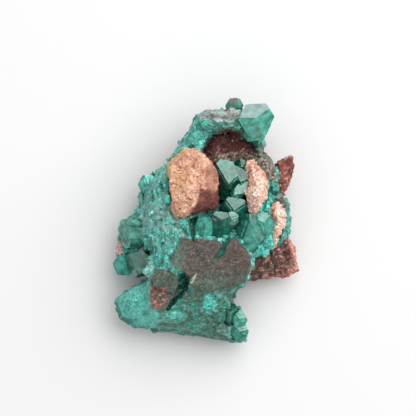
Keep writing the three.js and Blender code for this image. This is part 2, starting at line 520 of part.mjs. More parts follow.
addPiece("pale_rock_block", paleBlockBody(), "pale");
for (const [name, spine] of Object.entries(CALCITE_RIBS)) addPiece(name, ribBody(spine), "calcite");
Object.entries(CRYSTAL_GROUPS).forEach(([name, crystals], n) => {
  const laterSockets = crystalSockets.slice(n + 1);
  addPiece(name, cutBy(clusterSolid(crystals, 0), [paleSocket, ...ribSockets, ...laterSockets]), "crystal");
});
const rock = rockBody();
const rockSocket = rockBody(FIT_GAP).add(swollen(rock, FIT_GAP / 2));
addPiece("host_rock", cutBy(rock, [paleSocket, ...ribSockets, ...crystalSockets, belowBed]), "rock");
addPiece(
  "dioptase_crust",
  cutBy(crustBody(), [rockSocket, paleSocket, ...ribSockets, ...crystalSockets, belowBed]),
  "crust",
);

export default group;
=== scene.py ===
"""Dioptase on matrix: sculpted rock and crust, grown crystals, druse and grains, on a pale floor."""

import itertools
import logging
import math
from abc import ABC, abstractmethod
from dataclasses import dataclass, field
from enum import Enum
from functools import partial
from typing import Callable, Iterable, Sequence, Union

import bmesh
import bpy
import numpy as np
from bpy.types import Material, Mesh, Node, NodeSocket, NodeTree, Object
from mathutils import Matrix, Vector


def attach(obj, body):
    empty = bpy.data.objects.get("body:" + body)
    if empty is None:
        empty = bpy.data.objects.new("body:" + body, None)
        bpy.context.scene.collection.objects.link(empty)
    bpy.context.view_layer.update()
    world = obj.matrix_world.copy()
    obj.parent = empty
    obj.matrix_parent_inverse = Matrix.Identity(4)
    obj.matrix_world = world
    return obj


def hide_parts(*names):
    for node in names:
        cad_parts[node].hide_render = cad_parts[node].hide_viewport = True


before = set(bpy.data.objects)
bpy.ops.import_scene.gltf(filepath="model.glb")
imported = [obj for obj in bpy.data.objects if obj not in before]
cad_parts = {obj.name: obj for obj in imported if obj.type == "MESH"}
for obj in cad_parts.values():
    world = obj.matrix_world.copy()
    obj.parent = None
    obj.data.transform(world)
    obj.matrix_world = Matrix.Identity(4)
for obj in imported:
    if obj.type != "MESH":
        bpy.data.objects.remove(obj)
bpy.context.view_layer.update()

LOG = logging.getLogger("dioptase")
MM = 0.001
EAST, NORTH, UP = 0, 1, 2  # columns of a list of points
PAINT = "tint"  # the colour that every surface point or crystal face carries
DULLNESS = "dull"  # the roughness that every surface point carries
SHADE = "shade"  # a random share that tells one small crystal or grain from the next
CLEARNESS = "clearness"  # how much of the light a crystal face lets through
ROOT_SLOPE = 40.0  # degrees from level of the faces that close a crystal's root
PLATE_STEP = 0.035  # millimetres that a growth plate stands up
PLATE_STEP_PER_LAYER = 0.03
PLATE_INSET = 0.06  # how far a plate's edges stay back, in its crystal's girths
PLATE_INSET_SPREAD = 0.42  # how much further back they can stay
TRACE_OF_PAINT = 2e-3  # a share too small to paint
SHADE_SEED = 91
CELL_SCATTER = (374761393, 668265263, 1440662683)  # odd numbers that spread a cell's three numbers
SEED_SCATTER = 974634777
HASH_STEPS = ((13, 1274126177), (15, 2246822519))  # shift and odd factor of each round of mixing

Outline = Sequence[tuple[float, float]]
Adder = Callable[..., Node]


# ---- Colour and noise --------------------------------------------------------------------------------


def linear(colour: str) -> tuple[float, float, float, float]:
    """Turns an sRGB hex colour into linear light.

    Args:
        colour: six hex digits after a hash sign.

    Returns:
        Red, green, blue and an alpha of one.
    """
    parts = [int(colour[i : i + 2], 16) / 255 for i in (1, 3, 5)]
    red, green, blue = (c / 12.92 if c <= 0.04045 else ((c + 0.055) / 1.055) ** 2.4 for c in parts)
    return red, green, blue, 1.0


def lattice(cells: np.ndarray, seed: int) -> np.ndarray:
    """Gives each whole-numbered cell a fixed random value.

    Args:
        cells: cell numbers, three to a row.
        seed: which set of values.

    Returns:
        One value from -1 to 1 for each row.
    """
    n = cells.astype(np.int64).astype(np.uint32)
    mixed = np.full(n.shape[:-1], seed * SEED_SCATTER % 2**32, np.uint32)
    for axis, factor in enumerate(CELL_SCATTER):
        mixed = mixed ^ n[..., axis] * np.uint32(factor)
    for shift, factor in HASH_STEPS:
        mixed = (mixed ^ (mixed >> np.uint32(shift))) * np.uint32(factor)
    return (mixed ^ (mixed >> np.uint32(16))).astype(np.float64) / 0x7FFFFFFF - 1.0


def chance(seed: int, *cell: int) -> float:
    """A fixed random value from -1 to 1 for one cell of three whole numbers."""
    return float(lattice(np.array([cell]), seed)[0])


def drift(points: np.ndarray, wavelength: float, seed: int) -> np.ndarray:
    """Smooth noise that changes over about one wavelength.

    Args:
        points: places in millimetres, three to a row.
        wavelength: millimetres from one swell to the next.
        seed: which noise.

    Returns:
        One value from -1 to 1 for each point.
    """
    scaled = points / wavelength
    base = np.floor(scaled)
    ease = scaled - base
    ease = ease * ease * (3 - 2 * ease)
    total = np.zeros(len(points))
    for corner in itertools.product((0, 1), repeat=3):
        weight = np.prod(np.where(corner, ease, 1 - ease), axis=1)
        total += weight * lattice(base + corner, seed)
    return total


def ripple(points: np.ndarray, wavelength: float, seed: int, layers: int = 3) -> np.ndarray:
    """Layered noise, each layer half as wide and half as strong as the one before.

    Args:
        points: places in millimetres.
        wavelength: millimetres across the widest layer.
        seed: which noise.
        layers: how many layers.

    Returns:
        One value for each point, mostly from -1 to 1.
    """
    return sum(drift(points, wavelength / 2**n, seed + 7 * n) / 2**n for n in range(layers)) / 1.4


@dataclass
class Cells:
    """Points sorted into irregular grains."""

    inner: np.ndarray  # distance to the own grain's middle
    outer: np.ndarray  # distance to the next grain's middle
    middle: np.ndarray  # the own grain's middle
    number: np.ndarray  # the own grain's cell numbers

    @staticmethod
    def around(points: np.ndarray, size: float, seed: int) -> "Cells":
        """Sorts points into grains.

        Args:
            points: places in millimetres.
            size: millimetres across a grain.
            seed: which set of grains.

        Returns:
            The grain of each point.
        """
        base = np.floor(points / size)
        inner = np.full(len(points), np.inf)
        outer = np.full(len(points), np.inf)
        middle = np.zeros_like(points)
        number = np.zeros_like(points)
        for step in itertools.product((-1, 0, 1), repeat=3):
            cell = base + step
            jitter = np.stack([lattice(cell, seed + k) * 0.5 + 0.5 for k in (1, 2, 3)], axis=1)
            place = (cell + jitter) * size
            distance = np.linalg.norm(points - place, axis=1)
            nearer = distance < inner
            outer = np.where(nearer, inner, np.minimum(outer, distance))
            inner = np.where(nearer, distance, inner)
            middle[nearer] = place[nearer]
            number[nearer] = cell[nearer]
        return Cells(inner, outer, middle, number)

    def pick(self, seed: int) -> np.ndarray:
        """A random value from -1 to 1 for each point, the same all over its grain."""
        return lattice(self.number, seed)


def ramp(value: Union[float, np.ndarray], low: float, high: float) -> Union[float, np.ndarray]:
    """Eases from 0 at low to 1 at high."""
    share = np.clip((value - low) / (high - low), 0, 1)
    return share * share * (3 - 2 * share)


# ---- Regions and finishes ----------------------------------------------------------------------------


def from_segment(x: np.ndarray, y: np.ndarray, start: Sequence[float], end: Sequence[float]) -> np.ndarray:
    """The distance of points from a straight line.

    Args:
        x: how far east each point is.
        y: how far north each point is.
        start: one end of the line.
        end: its other end.

    Returns:
        One distance for each point.
    """
    dx, dy = end[0] - start[0], end[1] - start[1]
    along = np.clip(((x - start[0]) * dx + (y - start[1]) * dy) / (dx * dx + dy * dy), 0, 1)
    return np.hypot(x - start[0] - along * dx, y - start[1] - along * dy)


@dataclass(frozen=True)
class Region(ABC):
    """A part of the surface, marked out from above in millimetres, with an edge that wanders."""

    outline: Outline

    @abstractmethod
    def margin(self) -> float:
        """How far past its outline the region can reach."""

    @abstractmethod
    def share_close(self, points: np.ndarray) -> np.ndarray:
        """How much of each point belongs to the region, for points that lie close to it."""

    def share(self, points: np.ndarray) -> np.ndarray:
        """How much of each point belongs to the region.

        Args:
            points: places in millimetres.

        Returns:
            A share from 0 to 1 for each point.
        """
        corners = np.array(self.outline, float)
        low, high = corners.min(axis=0) - self.margin(), corners.max(axis=0) + self.margin()
        close = np.all((points[:, :UP] > low) & (points[:, :UP] < high), axis=1)
        found = np.zeros(len(points))
        found[close] = self.share_close(points[close])
        return found

    def wander(self, points: np.ndarray, wavelength: float, seed: int) -> list[np.ndarray]:
        """How far east and north each point counts as being, moved about by the raggedness of the edge."""
        moved = [self.ragged * ripple(points, wavelength, seed + axis) for axis in (EAST, NORTH)]
        return [points[:, axis] + moved[axis] for axis in (EAST, NORTH)]


@dataclass(frozen=True)
class Patch(Region):
    """The ground inside an outline."""

    soft: float = 0.35  # width of the blend across the edge
    ragged: float = 0.5  # how far the edge wanders
    low: float = -1.0  # the region ends at this height
    high: float = 99.0

    def margin(self) -> float:
        """How far past its outline the region can reach."""
        return self.soft + 2 * self.ragged

    def share_close(self, points: np.ndarray) -> np.ndarray:
        """The share of points that lie close to the region.

        Args:
            points: places in millimetres.

        Returns:
            A share from 0 to 1 for each point.
        """
        x, y = self.wander(points, 1.6, 301)
        inside = np.zeros(len(points), bool)
        near = np.full(len(points), np.inf)
        for (ax, ay), (bx, by) in zip(self.outline, self.outline[1:] + self.outline[:1]):
            near = np.minimum(near, from_segment(x, y, (ax, ay), (bx, by)))
            if ay != by:
                inside ^= ((ay > y) != (by > y)) & (x < (bx - ax) * (y - ay) / (by - ay) + ax)
        depth = np.where(inside, near, -near)
        level = (points[:, UP] >= self.low) & (points[:, UP] <= self.high)
        return ramp(depth, -self.soft, self.soft) * level


@dataclass(frozen=True)
class Trace(Region):
    """A line, such as a crack or a vein, that runs through the points of its outline."""

    width: float
    soft: float = 0.25
    ragged: float = 0.3
    low: float = -1.0

    def margin(self) -> float:
        """How far past its outline the region can reach."""
        return self.width + self.soft + 2 * self.ragged

    def share_close(self, points: np.ndarray) -> np.ndarray:
        """The share of points that lie close to the line.

        Args:
            points: places in millimetres.

        Returns:
            A share from 0 to 1 for each point.
        """
        x, y = self.wander(points, 1.2, 311)
        near = np.full(len(points), np.inf)
        for start, end in zip(self.outline, self.outline[1:]):
            near = np.minimum(near, from_segment(x, y, start, end))
        return (1 - ramp(near, self.width / 2, self.width / 2 + self.soft)) * (points[:, UP] >= self.low)


Where = Union[Region, np.ndarray, None]


@dataclass(frozen=True)
class Finish:
    """How a surface is coloured: three shades, the size of its mottling and how dull it is."""

    dark: str
    body: str
    light: str
    mottle: float = 0.9
    dull: float = 0.6
    reach: float = 1.0  # how far the mottling runs towards its dark and light ends

    def colours(self, points: np.ndarray, seed: int) -> np.ndarray:
        """The colour of each point, in linear light.

        Args:
            points: places in millimetres.
            seed: which mottling.

        Returns:
            Red, green and blue for each point.
        """
        grains = Cells.around(points, self.mottle * 0.6, seed + 40)
        tone = self.reach * (0.9 * ripple(points, self.mottle, seed, 2) + 0.55 * grains.pick(seed + 44))
        dark, body, light = (np.array(linear(c)[:3]) for c in (self.dark, self.body, self.light))
        down = ramp(-tone, 0.0, 1.1)[:, None]
        up = ramp(tone, 0.0, 1.1)[:, None]
        return body * (1 - down - up) + dark * down + light * up


class Tone(Enum):
    """The finishes of the specimen."""

    TURQUOISE = Finish("#257b72", "#50a399", "#84cfc6", 0.8, 0.32)
    BRIGHT = Finish("#2ca491", "#52c9b9", "#8cf2e5", 0.6, 0.25)
    # Painted highlight: small bright turquoise glints.
    SPARK = Finish("#3fd8c2", "#62ecd9", "#b4fff4", 0.5, 0.2)
    TEAL_GREY = Finish("#5b8781", "#86ada6", "#aecbc5", 0.8, 0.4)
    LOBE = Finish("#3a988b", "#57b0a4", "#80d2c6", 1.4, 0.5)
    DEEP = Finish("#06362b", "#0f5f4f", "#258472", 0.9, 0.22)
    GREEN = Finish("#0f5a49", "#258573", "#4aa894", 0.8, 0.28)
    LEDGE = Finish("#7b8784", "#9aa5a2", "#b7c1bd", 0.8, 0.5)
    LIP = Finish("#94a5a1", "#b3c2be", "#d0dcd9", 0.4, 0.45)
    LEDGE_FRONT = Finish("#1f5a4a", "#4a8d7d", "#8ab5a9", 0.8, 0.4)
    COAT = Finish("#433e39", "#56514b", "#716c65", 0.4, 0.75)
    COAT_LOW = Finish("#3a463e", "#4f5c52", "#6c7a6e", 0.4, 0.75)
    MOTTLED = Finish("#3e3a31", "#4a6a5a", "#58977f", 0.6, 0.6)
    BROWN = Finish("#352924", "#51443b", "#706156", 0.5, 0.8)
    PINK = Finish("#8a4640", "#c08b80", "#e6cabe", 0.5, 0.75)
    GRAINY = Finish("#2a1f1a", "#64594c", "#b9b09d", 0.35, 0.65)
    MAROON = Finish("#2a1210", "#5c2f2b", "#8c554e", 0.45, 0.75)
    RUST = Finish("#4a221c", "#8f4b3e", "#c28276", 0.6, 0.8)
    FLAKE = Finish("#2c211c", "#6b5348", "#b08d7e", 0.45, 0.75)
    RIM = Finish("#8d5043", "#c07e70", "#e2b0a3", 0.5, 0.8)
    UNDER = Finish("#4e3a33", "#7a5f54", "#a08678", 1.2, 0.85)
    TAN = Finish("#a97059", "#cf9a80", "#eccbb4", 0.5, 0.8)
    PALE_TAN = Finish("#bb8a70", "#dfb192", "#f3d8c0", 0.5, 0.8)
    OCHRE = Finish("#a8763a", "#c8964e", "#deb578", 0.5, 0.8)
    # Dark red-brown: real stain on the block's south-east face, and painted shade in the hollows of block and
    # ribs and on the block's shaded face.
    STAINED = Finish("#34160f", "#6b3527", "#9c5f4c", 0.6, 0.75)
    PEACH = Finish("#cc9c85", "#eac7b4", "#fae7da", 0.5, 0.7)
    BLUSH = Finish("#9c5443", "#c47f6b", "#e2ab97", 0.5, 0.7)
    VEIN = Finish("#9aa08a", "#c9c4ad", "#e6dcc8", 0.5, 0.6)


# ---- Sculpted surfaces -------------------------------------------------------------------------------


class Surface:
    """A fine-meshed copy of a CAD node, sculpted and painted point by point."""

    def __init__(self, node: str, name: str, fineness: float) -> None:
        """Copies the node's mesh and remeshes it.

        Args:
            node: the CAD node that the surface stands for.
            name: the piece's own name.
            fineness: millimetres across one face of the new mesh.
        """
        source = bpy.data.objects.new(name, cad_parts[node].data.copy())
        bpy.context.scene.collection.objects.link(source)
        shell = bmesh.new()
        shell.from_mesh(source.data)
        bmesh.ops.remove_doubles(shell, verts=shell.verts, dist=1e-3 * MM)
        shell.to_mesh(source.data)
        shell.free()
        remesh = source.modifiers.new("fine", "REMESH")
        remesh.mode = "VOXEL"
        remesh.voxel_size = fineness * MM
        self.object = settled(source)
        self.node = node
        self.read()
        self.tint = np.full((len(self.points), 3), 0.5)
        self.dull = np.full(len(self.points), 0.6)

    def read(self) -> None:
        """Reads the points and their normals from the mesh, in millimetres."""
        mesh = self.object.data
        flat = np.zeros(len(mesh.vertices) * 3)
        mesh.vertices.foreach_get("co", flat)
        self.points = flat.reshape(-1, 3) / MM
        bends = np.zeros(len(mesh.vertices) * 3)
        mesh.vertex_normals.foreach_get("vector", bends)
        self.normals = bends.reshape(-1, 3)

    def write(self) -> None:
        """Writes the points back to the mesh and reads the new normals."""
        self.object.data.vertices.foreach_set("co", (self.points * MM).astype(np.float32).ravel())
        self.object.data.update()
        self.read()

    def along(self, axis: int, low: float, high: float) -> np.ndarray:
        """A share for each point that eases from 0 to 1 as it goes east, north or up, in millimetres."""
        return ramp(self.points[:, axis], low, high)

    def share(self, where: Where) -> np.ndarray:
        """Turns a region into a share for each point.

        Args:
            where: a region, a share for each point, or nothing for everywhere.

        Returns:
            A share from 0 to 1 for each point.
        """
        if isinstance(where, Region):
            return where.share(self.points)
        return np.ones(len(self.points)) if where is None else np.asarray(where)

    def blotch(self, wavelength: float, seed: int, low: float, high: float, drawn: float = 1.0) -> np.ndarray:
        """A share for each point, high in blotches a wavelength wide and drawn out to the south."""
        return ramp(ripple(self.points / (1, drawn, drawn), wavelength, seed), low, high)

    def hollows(self, rounds: int) -> np.ndarray:
        """Tells hollows from ridges.

        Args:
            rounds: how many faces away the surroundings reach.

        Returns:
            How far each point lies below its surroundings, in millimetres.
        """
        mesh = self.object.data
        ends = np.zeros(len(mesh.edges) * 2, np.int32)
        mesh.edges.foreach_get("vertices", ends)
        a, b = ends.reshape(-1, 2).T
        size = len(self.points)
        joined = np.maximum(np.bincount(a, minlength=size) + np.bincount(b, minlength=size), 1)
        smooth = self.points.copy()
        for _ in range(rounds):
            sums = [np.bincount(a, column[b], size) + np.bincount(b, column[a], size) for column in smooth.T]
            smooth = np.stack(sums, axis=1) / joined[:, None]
        return np.sum((smooth - self.points) * self.normals, axis=1)

    def swell(self, amount: Union[float, np.ndarray]) -> None:
        """Moves the points outwards by an amount in millimetres."""
        self.points += self.normals * np.reshape(amount, (-1, 1))
        self.write()

    def chip(self, size: float, tilt: float, step: float, seed: int, where: Where = None) -> None:
        """Breaks the surface into flat, tilted facets.

        Args:
            size: millimetres across a facet.
            tilt: how steeply the facets lean.
            step: how far one stands above the next, in millimetres.
            seed: which set of facets.
            where: the share of it at each point.
        """
        cells = Cells.around(self.points, size, seed)
        lean = np.stack([cells.pick(seed + k) for k in (11, 12, 13)], axis=1)
        rise = tilt * np.sum((self.points - cells.middle) * lean, axis=1) + step * cells.pick(seed + 14)
        self.swell(rise * self.share(where))

    def lift(self, region: Region, height: float) -> None:
        """Raises or lowers the upward-facing points of a region by a height in millimetres."""
        self.points[:, UP] += height * region.share(self.points) * ramp(self.normals[:, UP], 0.05, 0.55)
        self.write()

    def paint(self, tone: Tone, where: Where = None, strength: float = 1.0) -> None:
        """Paints a finish over a region.

        Args:
            tone: the finish.
            where: a region, a share for each point, or nothing for everywhere.
            strength: how much of what is there it covers.
        """
        share = np.clip(self.share(where) * strength, 0, 1)
        marked = share > TRACE_OF_PAINT
        share = share[marked]
        seed = 500 + 17 * list(Tone).index(tone)
        colours = tone.value.colours(self.points[marked], seed)
        self.tint[marked] += share[:, None] * (colours - self.tint[marked])
        self.dull[marked] += share * (tone.value.dull - self.dull[marked])

    def speckle(
        self, tone: Tone, size: float, few: float, seed: int, where: Where = None, drawn: float = 1.0
    ) -> None:
        """Paints scattered angular grains.

        Args:
            tone: the grains' finish.
            size: millimetres across a grain's room.
            few: from 0, a grain in every room, to 1, none.
            seed: which grains.
            where: the region that has them, a share for each point, or nothing for everywhere.
            drawn: how many times as long as wide a grain is.
        """
        room = self.share(where)
        marked = room > TRACE_OF_PAINT
        cells = Cells.around(self.points[marked] / (1, drawn, drawn), size, seed)
        chosen = ramp(cells.pick(seed + 5) * 0.5 + 0.5, few, few + 0.04)
        share = np.zeros(len(self.points))
        share[marked] = chosen * (1 - ramp(cells.inner / cells.outer, 0.6, 0.8)) * room[marked]
        self.paint(tone, share)

    def finish(self, material: Material, slot: str) -> None:
        """Stores the paint, gives the piece its material and hands it to its body.

        Args:
            material: the piece's material.
            slot: the record's material slot.
        """
        rgba = np.ones((len(self.points), 4), np.float32)
        rgba[:, :3] = np.clip(self.tint, 0.002, 0.98)
        store(self.object.data, PAINT, rgba, "POINT")
        store(self.object.data, DULLNESS, self.dull, "POINT")
        dress(self.object, material)
        hand_over(self.object, slot, self.node)


def store(mesh: Mesh, name: str, values: Sequence, domain: str) -> None:
    """Keeps a number or a colour on each point or face of a mesh.

    Args:
        mesh: the mesh.
        name: the attribute's name.
        values: one number, or four for a colour, for each point or face.
        domain: POINT or FACE.
    """
    rows = np.array(values, np.float32)
    kind, part = ("FLOAT", "value") if rows.ndim == 1 else ("FLOAT_COLOR", "color")
    mesh.attributes.new(name, kind, domain).data.foreach_set(part, rows.ravel())


def settled(source: Object) -> Object:
    """Turns an object and its modifiers into a plain mesh object of the same name.

    Args:
        source: the object, which is removed.

    Returns:
        The plain object.
    """
    name = source.name
    bpy.context.view_layer.update()
    evaluated = source.evaluated_get(bpy.context.evaluated_depsgraph_get())
    mesh = bpy.data.meshes.new_from_object(evaluated)
    bpy.data.objects.remove(source)
    plain = bpy.data.objects.new(name, mesh)
    mesh.name = name
    bpy.context.scene.collection.objects.link(plain)
    return plain


def dress(piece: Object, material: Material) -> None:
    """Gives a piece its only material."""
    piece.data.materials.clear()
    piece.data.materials.append(material)


def hand_over(piece: Object, slot: str, *nodes: str) -> None:
    """Makes a finished piece ride on the specimen and stand for its CAD nodes.

    Args:
        piece: the finished object.
        slot: the record's material slot; not used.
        nodes: the CAD nodes that it stands for.
    """
    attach(piece, "root")
    if nodes:
        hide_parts(*nodes)
    LOG.info("%s: %d faces", piece.name, len(piece.data.polygons))


# ---- Materials ---------------------------------------------------------------------------------------


def add(tree: NodeTree, kind: str, inputs: Union[dict, None] = None, **settings: object) -> Node:
    """Adds a node with its settings and links.

    Args:
        tree: the node tree.
        kind: the node's type name.
        inputs: values, output sockets or nodes, which give their first output, by input name or number.
        settings: the node's own settings.

    Returns:
        The new node.
    """
    node = tree.nodes.new(kind)
    for key, value in settings.items():
        setattr(node, key, value)
    for key, value in (inputs or {}).items():
        if isinstance(value, (Node, NodeSocket)):
            output = value.outputs[0] if isinstance(value, Node) else value
            tree.links.new(output, node.inputs[key])
        else:
            node.inputs[key].default_value = value
    return node


def blank(name: str) -> tuple[Material, Adder]:
    """Makes a new material with an empty node tree.

    Args:
        name: the material's name.

    Returns:
        The material, and the function that adds nodes to its tree.
    """
    material = bpy.data.materials.new(name)
    material.use_nodes = True
    material.node_tree.nodes.clear()
    return material, partial(add, material.node_tree)


@dataclass(frozen=True)
class GrainedStone:
    """An opaque stone whose colour is painted on its points, with fine grain of its own."""

    name: str
    grain: float  # millimetres across a grain
    contrast: float  # how much one grain differs from the next
    relief: float  # millimetres that the grain stands up
    glint: float  # how far the grains' faces tilt, for sparkle
    specks: Union[str, None] = None  # colour of scattered specks
    speck_share: float = 0.0  # how many of the stone's cells hold one
    speck_size: float = 0.6
    ior: float = 1.55

    def material(self) -> Material:
        """Builds the material.

        Returns:
            The material, which reads the painted colour and dullness.
        """
        material, node = blank(self.name)
        place = node("ShaderNodeTexCoord").outputs["Object"]
        paint = node("ShaderNodeAttribute", attribute_name=PAINT)
        dull = node("ShaderNodeAttribute", attribute_name=DULLNESS).outputs["Fac"]
        grains = node("ShaderNodeTexVoronoi", {"Vector": place, "Scale": 1 / (self.grain * MM)})
        lumpy = {"Vector": place, "Scale": 1 / (self.grain * 0.5 * MM), "Detail": 3.0}
        wander = node("ShaderNodeTexNoise", lumpy)
        pick = node("ShaderNodeSeparateColor", {"Color": grains.outputs["Color"]})
        uneven = {"Value": pick, "To Min": 1 - self.contrast, "To Max": 1 + self.contrast}
        tone = node("ShaderNodeMapRange", uneven)
        spread = {"Value": wander, "From Min": 0.3, "From Max": 0.7, "To Min": 0.82, "To Max": 1.18}
        both = node("ShaderNodeMath", {0: tone, 1: node("ShaderNodeMapRange", spread)}, operation="MULTIPLY")
        colour = node("ShaderNodeVectorMath", {0: paint, "Scale": both}, operation="SCALE").outputs[0]
        if self.specks:
            colour = self.specked(node, place, colour)
        lumps = node("ShaderNodeMath", {0: grains, 1: wander}, operation="SUBTRACT")
        relief = {"Height": lumps, "Strength": 0.9, "Distance": self.relief * MM}
        bump = node("ShaderNodeBump", relief, invert=True)
        lean = {0: grains.outputs["Color"], 1: (0.5, 0.5, 0.5)}
        leaning = node("ShaderNodeVectorMath", lean, operation="SUBTRACT")
        tilt = node("ShaderNodeVectorMath", {0: leaning, "Scale": self.glint}, operation="SCALE")
        tilted = node("ShaderNodeVectorMath", {0: tilt, 1: bump}, operation="ADD")
        normal = node("ShaderNodeVectorMath", {0: tilted}, operation="NORMALIZE")
        surface = {"Base Color": colour, "Roughness": dull, "Normal": normal, "IOR": self.ior}
        node("ShaderNodeOutputMaterial", {"Surface": node("ShaderNodeBsdfPrincipled", surface)})
        return material

    def specked(self, node: Adder, place: NodeSocket, colour: NodeSocket) -> NodeSocket:
        """Adds the scattered specks.

        Args:
            node: adds a node to the material.
            place: the place on the stone.
            colour: the colour without specks.

        Returns:
            The colour with them.
        """
        spots = node("ShaderNodeTexVoronoi", {"Vector": place, "Scale": 1 / (self.speck_size * MM)})
        lot = node("ShaderNodeSeparateColor", {"Color": spots.outputs["Color"]}).outputs[1]
        chosen = node("ShaderNodeMath", {0: lot, 1: self.speck_share}, operation="LESS_THAN")
        fade = {"Value": spots, "From Min": 0.2, "From Max": 0.42, "To Min": 1.0, "To Max": 0.0}
        spot = node("ShaderNodeMath", {0: chosen, 1: node("ShaderNodeMapRange", fade)}, operation="MULTIPLY")
        mixed = {"Factor": spot, 6: colour, 7: linear(self.specks)}  # the mixer's two colour inputs
        return node("ShaderNodeMix", mixed, data_type="RGBA").outputs[2]


@dataclass(frozen=True)
class ClearCrystal:
    """A transparent green crystal: plain transmission, with the colour taken up along the way through."""

    name: str
    depth_colour: str  # what is left of white light after a long way through
    density: float  # per metre
    roughness: float
    clouds: float = 1.2  # millimetres across a cloudy patch
    growth: float = 0.5  # millimetres between growth lines
    relief: float = 0.02
    ior: float = 1.67

    def material(self) -> Material:
        """Builds the material.

        Returns:
            The material, which reads each face's tint and clearness and adds cloudy patches.
        """
        material, node = blank(self.name)
        place = node("ShaderNodeTexCoord").outputs["Object"]
        paint = node("ShaderNodeAttribute", attribute_name=PAINT)
        clear = node("ShaderNodeAttribute", attribute_name=CLEARNESS).outputs["Fac"]
        cloud = node("ShaderNodeTexNoise", {"Vector": place, "Scale": 1 / (self.clouds * MM), "Detail": 6.0})
        steps = node("ShaderNodeTexVoronoi", {"Vector": place, "Scale": 1 / (self.growth * MM)})
        haze, etching_and_sheen, veil = (
            node(
                "ShaderNodeMapRange",
                {"Value": cloud, "From Min": 0.35, "From Max": 0.7, "To Min": low, "To Max": high},
            )
            for low, high in ((0.6, 1.45), (self.roughness * 0.6, self.roughness * 1.6), (1.15, 0.75))
        )
        relief = {"Height": steps, "Strength": 0.5, "Distance": self.relief * MM}
        through = node("ShaderNodeMath", {0: clear, 1: veil}, operation="MULTIPLY", use_clamp=True)
        surface = {
            "Base Color": node("ShaderNodeVectorMath", {0: paint, "Scale": haze}, operation="SCALE"),
            "Roughness": etching_and_sheen,
            "Normal": node("ShaderNodeBump", relief),
            "IOR": self.ior,
            "Transmission Weight": through,
        }
        absorbed = {"Color": linear(self.depth_colour), "Density": self.density}
        inside = node("ShaderNodeVolumeAbsorption", absorbed)
        body = node("ShaderNodeBsdfPrincipled", surface)
        node("ShaderNodeOutputMaterial", {"Surface": body, "Volume": inside})
        return material


@dataclass(frozen=True)
class SmallCrystals:
    """Crystals and grains too small to look into: the colour of the ground, each lighter or darker."""

    name: str
    darkest: float  # times the ground's colour
    lightest: float
    roughness: float
    ior: float = 1.6

    def material(self) -> Material:
        """Builds the material.

        Returns:
            The material, which reads the ground's paint and each crystal's own random share.
        """
        material, node = blank(self.name)
        share = node("ShaderNodeAttribute", attribute_name=SHADE).outputs["Fac"]
        paint = node("ShaderNodeAttribute", attribute_name=PAINT)
        light = node("ShaderNodeMapRange", {"Value": share, "To Min": self.darkest, "To Max": self.lightest})
        colour = node("ShaderNodeVectorMath", {0: paint, "Scale": light}, operation="SCALE")
        surface = {"Base Color": colour, "Roughness": self.roughness, "IOR": self.ior}
        node("ShaderNodeOutputMaterial", {"Surface": node("ShaderNodeBsdfPrincipled", surface)})
        return material


# Massive dioptase and chrysocolla, grown as a fine crystalline crust: sparkles from countless tiny faces.
CRUST_STONE = GrainedStone("massive_dioptase_crust", 0.3, 0.3, 0.03, 0.5, ior=1.62)
# Hematite-stained quartz rock, broken: dull, with dark and pink grains.
HOST_STONE = GrainedStone("broken_rusty_quartz_rock", 0.32, 0.4, 0.1, 0.3, "#d9a79c", 0.05)
# Pale feldspar-rich rock, broken: matt and sandy, with scattered iron specks.
PALE_STONE = GrainedStone("broken_pale_feldspar_rock", 0.3, 0.24, 0.08, 0.2, "#7d4a3a", 0.06)
# Sugary calcite, broken: soft peach with a little sparkle and small dark pits.
CALCITE_STONE = GrainedStone("sugary_peach_calcite", 0.3, 0.26, 0.12, 0.35, "#7c4a3c", 0.07)
# Dioptase, as grown: glassy and deep emerald green, pale where it mirrors the light and on its level faces,
# which carry etching and painted reflection.
DIOPTASE = ClearCrystal("glassy_dioptase", "#35d39c", 260.0, 0.13)
# Dioptase druse: bright specks of the crust's own colour.
DRUSE_CRYSTALS = SmallCrystals("small_dioptase_crystals", 0.45, 1.5, 0.22)
# Loose quartz and iron oxide grains: matt, some pale and some dark.
ROCK_GRAINS = SmallCrystals("rock_grains", 0.4, 1.7, 0.5)


# ---- Crystals ----------------------------------------------------------------------------------------


Planes = list[tuple[Vector, float]]


def facing(compass: float, slope: float) -> Vector:
    """The normal of a face that looks in a compass direction and slopes from level, in degrees."""
    turn, lean = math.radians(compass), math.radians(slope)
    return Vector((math.cos(turn) * math.sin(lean), math.sin(turn) * math.sin(lean), math.cos(lean)))


def corners_of(planes: Planes) -> list[Vector]:
    """The corners of the convex solid inside a set of planes.

    Args:
        planes: unit normals and distances from the origin.

    Returns:
        The corners, or none where the planes leave no room.
    """
    found: list[Vector] = []
    for three in itertools.combinations(planes, 3):
        square = Matrix([normal for normal, _ in three])
        if abs(square.determinant()) < 1e-3:
            continue
        corner = square.inverted() @ Vector([distance for _, distance in three])
        if all(normal.dot(corner) < distance + 1e-5 for normal, distance in planes):
            found.append(corner)
    return found


def hull(corners: Sequence[Vector]) -> Mesh:
    """Makes the convex solid through some corners.

    Args:
        corners: the corners, in millimetres.

    Returns:
        Its mesh, in metres.
    """
    solid = bmesh.new()
    verts = [solid.verts.new(corner * MM) for corner in corners]
    bmesh.ops.remove_doubles(solid, verts=verts, dist=1e-3 * MM)
    bmesh.ops.convex_hull(solid, input=solid.verts)
    bmesh.ops.dissolve_limit(solid, angle_limit=0.01, verts=solid.verts, edges=solid.edges)
    bmesh.ops.recalc_face_normals(solid, faces=solid.faces)
    mesh = bpy.data.meshes.new("solid")
    solid.to_mesh(mesh)
    solid.free()
    return mesh


